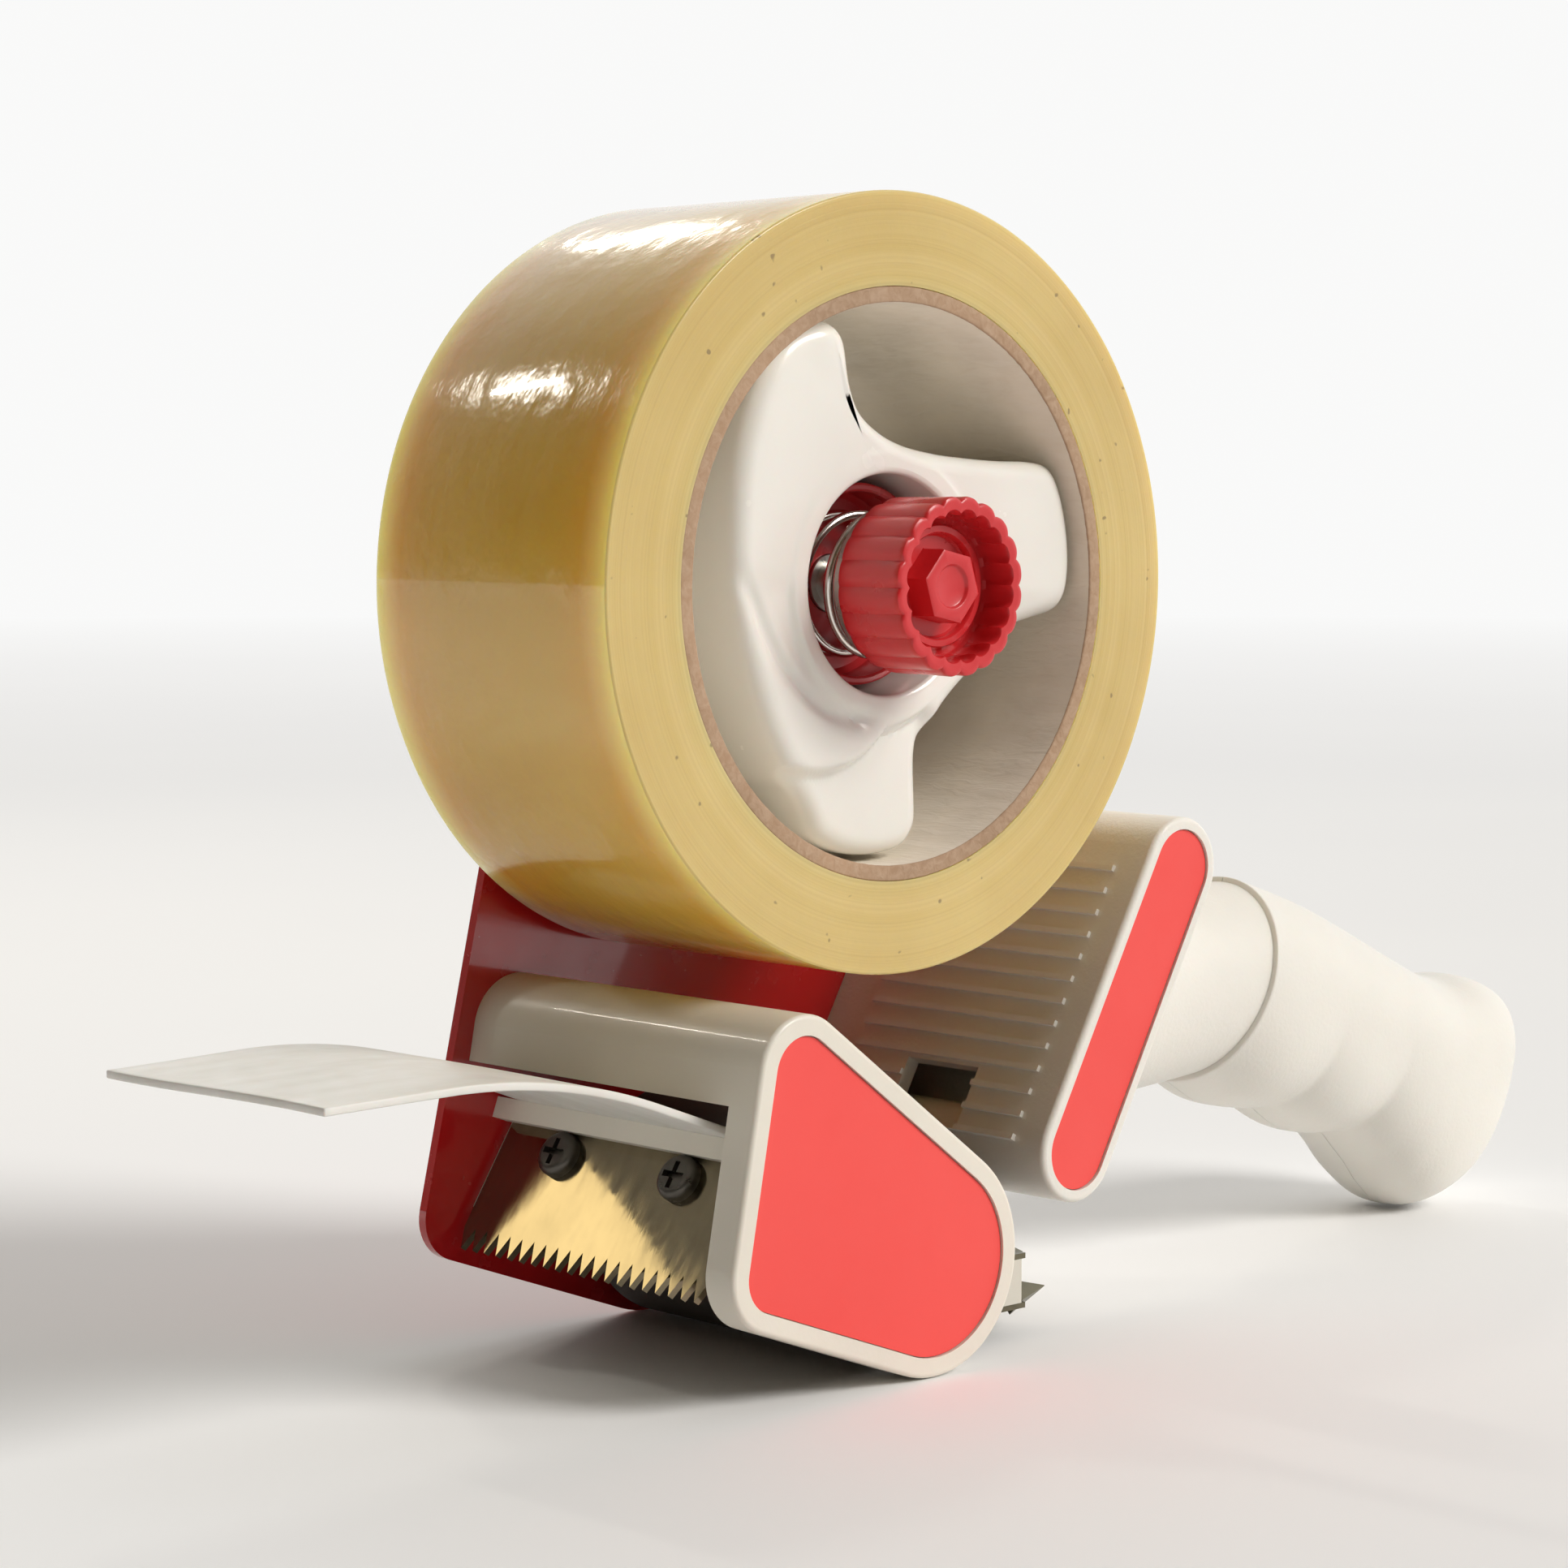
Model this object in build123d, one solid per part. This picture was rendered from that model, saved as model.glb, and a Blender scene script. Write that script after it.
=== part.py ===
from build123d import *
import math
import os

# Hand-held packing tape dispenser.
# It is drawn about the roll axle: +X runs back to the handle, -X forward to the cutter,
# -Y out to the tension knob and +Z up. Lengths are in millimetres, angles in degrees.
# At the end the whole object is moved, so that its origin is on the ground below its middle.

# ---- roll of tape ----
tape_width = 48.0
tape_outer_r = 53.5
core_inner_r = 38.4
core_wall = 2.2

# ---- fits ----
running_gap = 0.05       # radial, shaft in a turning bore
screw_gap = 0.05         # radial, fastener in its hole
seat_gap = 0.15          # between pieces that lie against each other without a fit
face_gap = 0.25          # along Y, between a turning face and a fixed one
core_grip = 0.05         # how far the hub's pads press into the card core

# ---- steel side plate ----
plate_inner_y = tape_width / 2 + 3.5
plate_thick = 1.5
axle_boss_r = 21.7
toe_centre = (-36.5, -89.6)
toe_r = 6.4

# ---- front housing ----
housing_near_y = -(tape_width / 2 + 8.0)
near_wall = 5.3
apex_centre = (-25.96, -63.8)
apex_r = 8.0
front_centre = (-31.2, -90.0)
front_r = 7.8
rear_centre = (-1.0, -92.4)
rear_r = 16.0
hood_wall = 3.0
hood_lip_z = -67.6
housing_edge_round = 0.7
housing_rim = 2.8
inlay_recess = 0.9
inlay_thick = 0.5
inlay_fit = 0.15

# ---- cutter and its seat ----
blade_tip = (-38.7, -93.5)
blade_lean = 32.8
blade_width = tape_width + 3.5
blade_height = 20.0
blade_thick = 1.0
tooth_count = 20
tooth_depth = 3.2
blade_screw_spacing = 25.0
blade_screw_up = 16.0
blade_screw_r = 1.7
blade_screw_head_r = 3.3
blade_screw_head_h = 2.0
seat_low = 6.5
seat_thick = 3.5

# ---- flexible wiper tongue ----
tongue_width = tape_width - 1.0
tongue_thick = 1.15
tongue_knee = (-60.7, -61.0)
tongue_tip = (-98.0, -61.9)
tongue_root = (-14.0, -78.5)
tongue_bend_r = 90.0
flex_from_root = 17.0
flex_gap = 0.3
clamp_thick = 1.2
clamp_length = 9.0
clamp_seat_thick = 3.0
rivet_r = 1.2
rivet_head_r = 2.3
rivet_head_h = 0.8
rivet_spacing = 18.0
rivet_tool_room = 6.0
rivet_head_round = 0.5
shelf_gap = 0.5
web_start = 1.5

# ---- application roller ----
roller_centre = (1.0, -91.0)
roller_r = 17.1
roller_width = tape_width
tyre_wall = 3.2
roller_rim_wall = 2.4
roller_web_half = 1.5
roller_web_bite = 2.0    # how far the web goes into the rim
roller_boss_wall = 3.0
tyre_round = 0.8
roller_pin_r = 3.0
pin_bore_depth = 3.0
pin_head_r = 5.2
pin_head_h = 1.3
clip_thick = 0.8
clip_r = 5.2
clip_groove = 0.6
clip_mouth = 2.6
wall_boss_r = 5.5
wall_boss_h = 1.6
hood_cut = 200.0         # larger than the housing

# ---- tape guide behind the roller ----
guide_centre = (roller_centre[0] + roller_r + 4.8, -100.4)
guide_size = (6.6, 6.4)
guide_near_y = -(tape_width / 2 - 1.5)
guide_sheet = 0.8
claw_count = 6
claw_base_w = 5.0
claw_base_h = 5.2
claw_length = 7.5
claw_drop = 0.6
claw_lip = 0.8
claw_point = 0.1
claw_upper_share = 0.6   # the upper claws are smaller
guide_far_gap = 1.0
guide_peg_r = 1.1
guide_peg_offset = 2.0

# ---- handle bracket ----
bracket_near_y = -tape_width / 2
bracket_low = (36.6, -82.6)
bracket_high = (59.2, -43.0)
bracket_r = 7.6
bracket_wall = 2.4
bracket_end_wall = 3.0
bracket_rim = 1.8
bracket_edge_round = 0.8
rib_count = 13
rib_pitch = 3.6
rib_first = -1.9
rib_length = tape_width - 10.5
rib_inset = 5.7
rib_width = 0.9
rib_height = 0.6
rib_root = 0.4
window_y = (-6.5, 7.9)
window_s = (-2.2, 7.8)
post_r = 4.2

# ---- neck and grip ----
grip_collar = (92.5, -65.0)
grip_tilt = 23.5
grip_wall = 2.6
grip_split_gap = 0.1
collar_step = 0.9
neck_half_height = 19.5
neck_half_width = 16.5
neck_wall = 2.8
# distance along the grip, top edge, bottom edge and half width, outside
grip_sections = [
    (0.0, 17.4, -17.1, 16.0),
    (9.1, 18.1, -17.9, 16.4),
    (21.4, 18.3, -15.9, 16.0),
    (31.9, 18.1, -15.9, 16.2),
    (40.5, 17.9, -14.3, 16.0),
    (48.2, 17.9, -15.8, 16.4),
    (54.5, 18.8, -18.4, 17.0),
    (62.0, 21.6, -20.0, 17.6),
    (70.6, 22.6, -15.2, 16.6),
    (75.6, 20.8, -9.6, 13.6),
    (78.3, 16.8, -4.6, 9.6),
]
tang_half_height = 9.0
tang_half_width = 5.0
tang_length = 30.0
tang_start = 1.0
grip_post_r = 3.6
grip_screw_places = [(17.0, 0.0), (44.0, 1.5), (62.0, 1.5)]
grip_screw_r = 1.5
grip_screw_head_r = 2.8
grip_screw_head_h = 1.8
grip_screw_seat = 8.0
grip_screw_length = 15.0
grip_cut = 400.0         # larger than the grip

# ---- axle, hub and tension knob ----
axle_r = 4.0
axle_thread_r = 3.0
axle_flange_r = 9.0
axle_flange_h = 2.0
knob_travel = 3.0
knob_clearance = 0.6
thread_gap = 0.2
axle_nut_across = 13.0
axle_nut_h = 5.0
axle_end_spare = 1.0
washer_r = 8.5
washer_thick = 1.2
bush_wall = 2.4
hub_front_y = -(tape_width / 2 - 2.0)
hub_back_y = tape_width / 2 + 1.0
hub_boss_r = 18.0
hub_floor_y = hub_front_y + 15.0
hub_floor_thick = 4.0
hub_skin = 2.6
hub_face_thick = 5.2
hub_cup_well_r = 15.2
hub_arm_angles = [9.0, 125.0, 265.0]
hub_arm_half = 10.4
hub_belly_r = 28.5
hub_pad_wall = 2.6
hub_flange_r = core_inner_r + 2.6
hub_flange_thick = 1.4
hub_edge_round = 2.4
friction_thick = 1.0
friction_r = 11.0
cup_r = 14.0
cup_wall = 1.2
cup_floor = 1.4
cup_rim_y = hub_front_y + 6.2
spring_r = 9.6
spring_wire_r = 0.7
spring_turns = 4.5
knob_back_y = hub_front_y - 1.0
knob_front_y = knob_back_y - 12.2
axle_end_y = knob_back_y - 6.0
knob_r = 12.2
knob_scallop = 0.65
knob_scallops = 20
knob_wall = 1.3
knob_floor = 6.2
knob_ring_r = 8.4
knob_ring_wall = 1.3
knob_ring_back = 4.2
knob_hex_across = 9.2
knob_hex_back = 1.6
knob_dimple_r = 3.0
knob_dimple_depth = 0.7
knob_dimple_wall = 0.5
nut_across = 10.0
nut_h = 5.0
pressure_washer_r = 11.0
pressure_washer_thick = 1.0

# ---- screws through the side plate ----
frame_screw_r = 2.0
frame_screw_head_r = 3.8
frame_screw_head_h = 2.2
frame_screw_length = 14.0
frame_post_r = 5.0
frame_post_length = 18.0
seat_post_centre = (-21.7, -84.6)
guide_screw_r = 1.4
guide_screw_head_r = 2.7
guide_screw_head_h = 1.6
guide_screw_length = 9.0
cross_slot_w = 0.9

# ---- what follows from them ----
axle = (0.0, 0.0)
plate_outer_y = plate_inner_y + plate_thick
housing_wall_y = housing_near_y + near_wall
half_tape = tape_width / 2
core_outer_r = core_inner_r + core_wall
grip_mid_y = (bracket_near_y + plate_inner_y) / 2
housing_discs = [(*apex_centre, apex_r), (*front_centre, front_r), (*rear_centre, rear_r)]
bracket_discs = [(*bracket_high, bracket_r), (*bracket_low, bracket_r)]


def disc_outline(discs, inset=0.0):
    """The outline round discs listed anticlockwise, with a straight tangent from each to the next."""
    shrunk = [(x, z, r - inset) for x, z, r in discs]
    exits = []
    for i, (x1, z1, r1) in enumerate(shrunk):
        x2, z2, r2 = shrunk[(i + 1) % len(shrunk)]
        heading = math.atan2(z2 - z1, x2 - x1)
        lean = math.asin((r1 - r2) / math.hypot(x2 - x1, z2 - z1))
        exits.append(heading - math.pi / 2 + lean)
    edges = []
    for i, (x, z, r) in enumerate(shrunk):
        enter = exits[i - 1]
        leave = exits[i]
        while leave < enter:
            leave += 2 * math.pi
        middle = (enter + leave) / 2
        arc = [(x + r * math.cos(a), z + r * math.sin(a)) for a in (enter, middle, leave)]
        x2, z2, r2 = shrunk[(i + 1) % len(shrunk)]
        landing = (x2 + r2 * math.cos(leave), z2 + r2 * math.sin(leave))
        edges.append(ThreePointArc(*arc))
        edges.append(Line(arc[2], landing))
    return make_face(edges)


def prism(face, y_low, y_high):
    """A face drawn in X and Z, made solid from y_low to y_high."""
    return Pos(0, y_low, 0) * extrude(Plane.XZ * face, amount=-(y_high - y_low))


def rod(centre, r, y_low, y_high):
    return prism(Pos(*centre) * Circle(r), y_low, y_high)


def tube(centre, r_out, r_in, y_low, y_high):
    return rod(centre, r_out, y_low, y_high) - rod(centre, r_in, y_low, y_high)


def pan_screw(head_r, head_h, shank_r, length):
    """A cross-slot screw along +Z, with the underside of its head at the origin."""
    base = (Align.CENTER, Align.CENTER, Align.MIN)
    head = Cylinder(head_r, head_h, align=base)
    head = fillet(head.edges().sort_by(Axis.Z)[-1], head_h * 0.55)
    arm = Box(head_r * 1.2, cross_slot_w, head_h, align=base)
    slot = Pos(0, 0, head_h * 0.45) * (arm + Rot(0, 0, 90) * arm)
    shank = Cylinder(shank_r, length, align=(Align.CENTER, Align.CENTER, Align.MAX))
    return head - slot + shank


def on_plate(centre, item):
    """An item drawn along +Z, put on the side plate's outer face and pointing away from it."""
    face = Plane(origin=(centre[0], plate_outer_y, centre[1]), x_dir=(1, 0, 0), z_dir=(0, 1, 0))
    return face.location * item


def toward(start, end):
    length = math.hypot(end[0] - start[0], end[1] - start[1])
    return ((end[0] - start[0]) / length, (end[1] - start[1]) / length)


# ---- side plate and the screws through it ----
bracket_screw_places = [bracket_low, bracket_high]
housing_screw_places = [apex_centre, seat_post_centre]
guide_screw_place = (guide_centre[0], guide_centre[1] + guide_peg_offset / 2)
guide_peg_place = (guide_centre[0], guide_centre[1] - guide_peg_offset)


def make_side_plate():
    discs = [
        (*axle, axle_boss_r),
        (*toe_centre, toe_r),
        (*rear_centre, rear_r),
        (*bracket_low, bracket_r),
        (*bracket_high, bracket_r),
    ]
    plate = prism(disc_outline(discs), plate_inner_y, plate_outer_y)
    holes = [(axle, axle_r), (roller_centre, roller_pin_r), (guide_peg_place, guide_peg_r)]
    holes += [(place, frame_screw_r) for place in bracket_screw_places + housing_screw_places]
    holes.append((guide_screw_place, guide_screw_r))
    for place, r in holes:
        plate -= rod(place, r + screw_gap, plate_inner_y, plate_outer_y)
    return plate


def make_frame_screws(places):
    screw = pan_screw(frame_screw_head_r, frame_screw_head_h, frame_screw_r, frame_screw_length)
    return Compound(children=[on_plate(place, screw) for place in places])


def frame_post(centre, r):
    """A round post against the side plate, bored for its screw."""
    post = rod(centre, r, plate_inner_y - frame_post_length, plate_inner_y)
    depth = frame_screw_length - plate_thick + seat_gap
    return post - rod(centre, frame_screw_r + screw_gap, plate_inner_y - depth, plate_inner_y)


def frame_post_bore(centre):
    depth = frame_screw_length - plate_thick + seat_gap
    return rod(centre, frame_screw_r + screw_gap, plate_inner_y - depth, plate_inner_y)


# ---- cutter ----
lean = math.radians(blade_lean)
blade_plane = Plane(
    origin=(blade_tip[0], (housing_wall_y + plate_inner_y) / 2, blade_tip[1]),
    x_dir=(0, 1, 0),
    z_dir=(math.cos(lean), 0, -math.sin(lean)),
)
blade_screw_ws = [-blade_screw_spacing / 2, blade_screw_spacing / 2]


def make_blade():
    pitch = blade_width / tooth_count
    left = -blade_width / 2
    edge = [(left, blade_height), (left, tooth_depth)]
    for i in range(tooth_count):
        edge.append((left + (i + 0.5) * pitch, 0))
        edge.append((left + (i + 1) * pitch, tooth_depth))
    edge.append((left + blade_width, blade_height))
    outline = make_face(Polyline(*edge, close=True))
    for w in blade_screw_ws:
        outline -= Pos(w, blade_screw_up) * Circle(blade_screw_r + screw_gap)
    return extrude(blade_plane * outline, amount=blade_thick)


def make_blade_screws():
    screw = pan_screw(blade_screw_head_r, blade_screw_head_h, blade_screw_r, blade_thick + seat_thick)
    placed = []
    for w in blade_screw_ws:
        front = blade_plane * Pos(w, blade_screw_up, 0) * Rot(180, 0, 0)
        placed.append(front * screw)
    return Compound(children=placed)


# ---- wiper tongue: a clamped root, and the free flap that flexes about the hinge line ----
root_heading = toward(tongue_root, tongue_knee)
root_up = (-root_heading[1], root_heading[0])
if root_up[1] < 0:
    root_up = (-root_up[0], -root_up[1])
hinge = (
    tongue_root[0] + root_heading[0] * flex_from_root,
    tongue_root[1] + root_heading[1] * flex_from_root,
)
tongue_mid_y = (housing_wall_y + plate_inner_y) / 2
tongue_low_y = tongue_mid_y - tongue_width / 2
tongue_high_y = tongue_mid_y + tongue_width / 2
root_plane = Plane(
    origin=(tongue_root[0], tongue_mid_y, tongue_root[1]),
    x_dir=(root_heading[0], 0, root_heading[1]),
    z_dir=(root_up[0], 0, root_up[1]),
)


def root_slab(s_low, s_high, up_low, up_high, half_width):
    """A flat bar along the tongue's root, placed by distances from its inner end."""
    block = Box(s_high - s_low, 2 * half_width, up_high - up_low, align=(Align.MIN, Align.CENTER, Align.MIN))
    return root_plane.location * (Pos(s_low, 0, up_low) * block)


def rivet_axis(w):
    return root_plane.location * Pos(clamp_length / 2, w, 0)


rivet_ws = [-rivet_spacing, 0.0, rivet_spacing]


def rivet_holes(r):
    drill = Cylinder(r, 4 * (clamp_thick + clamp_seat_thick))
    return [rivet_axis(w) * drill for w in rivet_ws]


def make_wiper_root():
    half = tongue_thick / 2
    body = root_slab(0, flex_from_root, -half, half, tongue_width / 2)
    body -= rod(hinge, half + flex_gap, tongue_low_y - 1, tongue_high_y + 1)
    for hole in rivet_holes(rivet_r + screw_gap):
        body -= hole
    return body


def make_wiper_tongue():
    path = FilletPolyline(hinge, tongue_knee, tongue_tip, radius=tongue_bend_r)
    flap = prism(trace(path, line_width=tongue_thick), tongue_low_y, tongue_high_y)
    return flap + rod(hinge, tongue_thick / 2, tongue_low_y, tongue_high_y)


def make_wiper_clamp():
    low = tongue_thick / 2
    bar = root_slab(0, clamp_length, low, low + clamp_thick, tongue_width / 2)
    for hole in rivet_holes(rivet_r + screw_gap):
        bar -= hole
    return bar


def make_wiper_rivets():
    top = tongue_thick / 2 + clamp_thick
    bottom = -tongue_thick / 2 - clamp_seat_thick
    base = (Align.CENTER, Align.CENTER, Align.MIN)
    shank = Pos(0, 0, bottom) * Cylinder(rivet_r, top - bottom, align=base)
    head = Cylinder(rivet_head_r, rivet_head_h, align=base)
    head = fillet(head.edges().sort_by(Axis.Z)[-1], rivet_head_round)
    rivet = shank + Pos(0, 0, top) * head + Pos(0, 0, bottom) * Rot(180, 0, 0) * head
    return Compound(children=[rivet_axis(w) * rivet for w in rivet_ws])


# ---- front housing ----
def make_front_housing():
    outline = disc_outline(housing_discs)
    wall = prism(outline, housing_near_y, housing_wall_y)
    wall = fillet(wall.faces().sort_by(Axis.Y)[0].edges(), housing_edge_round)
    wall -= prism(disc_outline(housing_discs, housing_rim), housing_near_y, housing_near_y + inlay_recess)
    wall += rod(roller_centre, wall_boss_r, housing_wall_y, housing_wall_y + wall_boss_h)

    band = outline - disc_outline(housing_discs, hood_wall)
    above = Pos(0, hood_lip_z) * Rectangle(hood_cut, hood_cut, align=(Align.CENTER, Align.MIN))
    hood = prism(band & above, housing_wall_y, plate_inner_y)

    span = plate_inner_y - housing_wall_y
    seat_face = Pos(0, seat_low) * Rectangle(span, blade_height - seat_low, align=(Align.CENTER, Align.MIN))
    seat = extrude(blade_plane.offset(blade_thick) * seat_face, amount=seat_thick)
    under = -tongue_thick / 2
    shelf_end = flex_from_root - shelf_gap
    shelf = root_slab(0, shelf_end, under - clamp_seat_thick, under, span / 2)
    web = prism(
        make_face(Polyline(
            (tongue_root[0], tongue_root[1] - clamp_seat_thick),
            (hinge[0] + web_start, hinge[1] - clamp_seat_thick),
            seat_post_centre,
            close=True,
        )),
        housing_wall_y,
        plate_inner_y,
    )
    inside = prism(outline, housing_wall_y, plate_inner_y)
    bars = (seat + shelf + web) & inside
    posts = frame_post(apex_centre, frame_post_r) + frame_post(seat_post_centre, frame_post_r)
    body = wall + hood + bars + (posts & inside)
    room = Rectangle(span, blade_height + seat_gap, align=(Align.CENTER, Align.MIN))
    body -= extrude(blade_plane * room, amount=blade_thick) & inside
    for place in housing_screw_places:
        body -= frame_post_bore(place)
    pin_end = housing_wall_y + wall_boss_h
    body -= rod(roller_centre, roller_pin_r + screw_gap, pin_end - wall_boss_h - pin_bore_depth, pin_end)
    for w in blade_screw_ws:
        hole = Cylinder(blade_screw_r + screw_gap, 2 * (blade_thick + seat_thick))
        body -= blade_plane.location * Pos(w, blade_screw_up, 0) * hole
    for hole in rivet_holes(rivet_r + screw_gap):
        body -= hole
    below = (Align.CENTER, Align.CENTER, Align.MAX)
    tool_room = Cylinder(rivet_head_r + seat_gap, rivet_tool_room, align=below)
    for w in rivet_ws:
        body -= rivet_axis(w) * Pos(0, 0, under - clamp_seat_thick) * tool_room
    return body


def make_housing_inlay():
    face = disc_outline(housing_discs, housing_rim + inlay_fit)
    back = housing_near_y + inlay_recess
    return prism(face, back - inlay_thick, back)


# ---- application roller ----
core_end_low = housing_wall_y + wall_boss_h + face_gap
core_end_high = plate_inner_y - clip_thick - 2 * face_gap - seat_gap
roller_mid_y = (core_end_low + core_end_high) / 2


def make_roller_tyre():
    low = roller_mid_y - roller_width / 2
    tyre = tube(roller_centre, roller_r, roller_r - tyre_wall, low, low + roller_width)
    rims = tyre.edges().filter_by(GeomType.CIRCLE).group_by(SortBy.RADIUS)[-1]
    return fillet(rims, tyre_round)


def make_roller_core():
    low = roller_mid_y - roller_width / 2
    rim_r = roller_r - tyre_wall
    rim = tube(roller_centre, rim_r, rim_r - roller_rim_wall, low, low + roller_width)
    boss = rod(roller_centre, roller_pin_r + roller_boss_wall, core_end_low, core_end_high)
    web_r = rim_r - roller_web_bite
    web = rod(roller_centre, web_r, roller_mid_y - roller_web_half, roller_mid_y + roller_web_half)
    core = rim + boss + web
    return core - rod(roller_centre, roller_pin_r + running_gap, core_end_low, core_end_high)


def make_roller_pin():
    end = housing_wall_y - pin_bore_depth + seat_gap
    pin = rod(roller_centre, roller_pin_r, end, plate_outer_y)
    pin += rod(roller_centre, pin_head_r, plate_outer_y, plate_outer_y + pin_head_h)
    groove_high = plate_inner_y - face_gap
    groove_r = roller_pin_r - clip_groove
    return pin - tube(roller_centre, roller_pin_r, groove_r, groove_high - clip_thick, groove_high)


def make_roller_clip():
    high = plate_inner_y - face_gap
    ring = tube(roller_centre, clip_r, roller_pin_r - clip_groove + screw_gap, high - clip_thick, high)
    mouth = Pos(*roller_centre) * Rectangle(clip_mouth, 2 * clip_r, align=(Align.CENTER, Align.MAX))
    return ring - prism(mouth, high - clip_thick, high)


# ---- tape guide: a moulded bar that carries a steel channel with claws ----
def make_guide_block():
    bar = prism(Pos(*guide_centre) * Rectangle(*guide_size), guide_near_y, plate_inner_y)
    bar += rod(guide_peg_place, guide_peg_r, plate_inner_y, plate_outer_y)
    depth = guide_screw_length - plate_thick + seat_gap
    return bar - rod(guide_screw_place, guide_screw_r + screw_gap, plate_inner_y - depth, plate_inner_y)


def make_tape_guide():
    w, h = guide_size
    x, z = guide_centre
    rear = x + w / 2
    start = (Align.MAX, Align.CENTER)
    outer = Pos(rear + claw_lip, z) * Rectangle(w + guide_sheet + claw_lip, h + 2 * guide_sheet, align=start)
    inner = Pos(rear + claw_lip, z) * Rectangle(w + claw_lip, h, align=start)
    guide_far_y = plate_inner_y - guide_far_gap
    channel = prism(outer - inner, guide_near_y, guide_far_y)
    pitch = (guide_far_y - guide_near_y) / claw_count
    upper_base = z + h / 2 + guide_sheet / 2
    lower_base = z - h / 2 + guide_sheet / 2
    for i in range(claw_count):
        y = guide_near_y + (i + 0.5) * pitch
        near_y = guide_near_y + i * pitch + claw_base_w / 2
        channel += claw(rear, near_y, lower_base, claw_base_h / 2, claw_length, claw_drop)
        upper_half_h = claw_base_h / 2 * claw_upper_share
        channel += claw(rear, y, upper_base, upper_half_h, claw_length * claw_upper_share, -claw_drop)
    return channel


def claw(x, y, z, half_h, length, rise):
    """A pressed spike that points to the rear, four-sided, with its root on the channel's edge."""
    root = Plane(origin=(x + claw_lip / 4, y, z), x_dir=(0, 1, 0), z_dir=(1, 0, 0))
    tip = Plane(origin=(x + length, y, z + rise), x_dir=(0, 1, 0), z_dir=(1, 0, 0))
    foot = root * diamond(claw_base_w / 2, half_h)
    return loft([foot, tip * diamond(claw_point, claw_point)], ruled=True)


def diamond(half_w, half_h):
    return make_face(Polyline((-half_w, 0), (0, half_h), (half_w, 0), (0, -half_h), close=True))


def make_guide_screw():
    screw = pan_screw(guide_screw_head_r, guide_screw_head_h, guide_screw_r, guide_screw_length)
    return on_plate(guide_screw_place, screw)


# ---- handle bracket ----
up_bracket = toward(bracket_low, bracket_high)
front_normal = (-up_bracket[1], up_bracket[0])
front_low = (
    bracket_low[0] + front_normal[0] * bracket_r,
    bracket_low[1] + front_normal[1] * bracket_r,
)
front_plane = Plane(
    origin=(front_low[0], 0, front_low[1]),
    x_dir=(0, -1, 0),
    z_dir=(front_normal[0], 0, front_normal[1]),
)
grip_axis = (math.cos(math.radians(grip_tilt)), -math.sin(math.radians(grip_tilt)))


def grip_plane(distance):
    origin = (grip_collar[0] + grip_axis[0] * distance, grip_mid_y, grip_collar[1] + grip_axis[1] * distance)
    return Plane(origin=origin, x_dir=(0, 1, 0), z_dir=(grip_axis[0], 0, grip_axis[1]))


def oval(top, bottom, half_width, inset=0.0):
    return Pos(0, (top + bottom) / 2) * Ellipse(half_width - inset, (top - bottom) / 2 - inset)


def make_handle_bracket():
    shell = prism(disc_outline(bracket_discs), bracket_near_y, plate_inner_y)
    shell = fillet(shell.faces().sort_by(Axis.Y)[0].edges(), bracket_edge_round)
    hollow = disc_outline(bracket_discs, bracket_wall)
    shell -= prism(hollow, bracket_near_y + bracket_end_wall, plate_inner_y)
    shell -= prism(disc_outline(bracket_discs, bracket_rim), bracket_near_y, bracket_near_y + inlay_recess)

    rib = Box(rib_length, rib_width, rib_height + rib_root, align=(Align.MAX, Align.CENTER, Align.MIN))
    rib_start = -(bracket_near_y + rib_inset)
    for i in range(rib_count):
        shell += front_plane.location * Pos(rib_start, rib_first + i * rib_pitch, -rib_root) * rib
    opening = Box(
        window_y[1] - window_y[0],
        window_s[1] - window_s[0],
        3 * bracket_wall,
        align=(Align.MIN, Align.MIN, Align.CENTER),
    )
    shell -= front_plane.location * Pos(-window_y[1], window_s[0], 0) * opening

    back_centre = (
        (bracket_low[0] + bracket_high[0]) / 2 - front_normal[0] * (bracket_r - bracket_wall / 2),
        (bracket_low[1] + bracket_high[1]) / 2 - front_normal[1] * (bracket_r - bracket_wall / 2),
    )
    back_plane = Plane(
        origin=(back_centre[0], grip_mid_y, back_centre[1]),
        x_dir=(0, 1, 0),
        z_dir=(-front_normal[0], 0, -front_normal[1]),
    )
    _, top, bottom, half_width = grip_sections[0]
    neck = loft([
        back_plane * Ellipse(neck_half_width, neck_half_height),
        grip_plane(0) * oval(top, bottom, half_width, collar_step),
    ])
    neck -= loft([
        back_plane.offset(bracket_wall / 2)
        * Ellipse(neck_half_width - neck_wall, neck_half_height - neck_wall),
        grip_plane(-neck_wall) * oval(top, bottom, half_width, collar_step + neck_wall),
    ])
    base = (Align.CENTER, Align.CENTER, Align.MIN)
    tang = Box(2 * tang_half_width, 2 * tang_half_height, tang_length, align=base)
    shell += neck + grip_plane(0).location * Pos(0, 0, -tang_start) * tang
    for place in bracket_screw_places:
        post = rod(place, post_r, bracket_near_y + bracket_end_wall, plate_inner_y)
        shell += post
    for place in bracket_screw_places:
        shell -= frame_post_bore(place)
    along, up = grip_screw_places[0]
    reach = 2 * tang_half_width
    shell -= grip_post(along, up, grip_post_r + seat_gap, grip_mid_y - reach, grip_mid_y + reach)
    return shell


def make_bracket_inlay():
    face = disc_outline(bracket_discs, bracket_rim + inlay_fit)
    back = bracket_near_y + inlay_recess
    return prism(face, back - inlay_thick, back)


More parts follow.
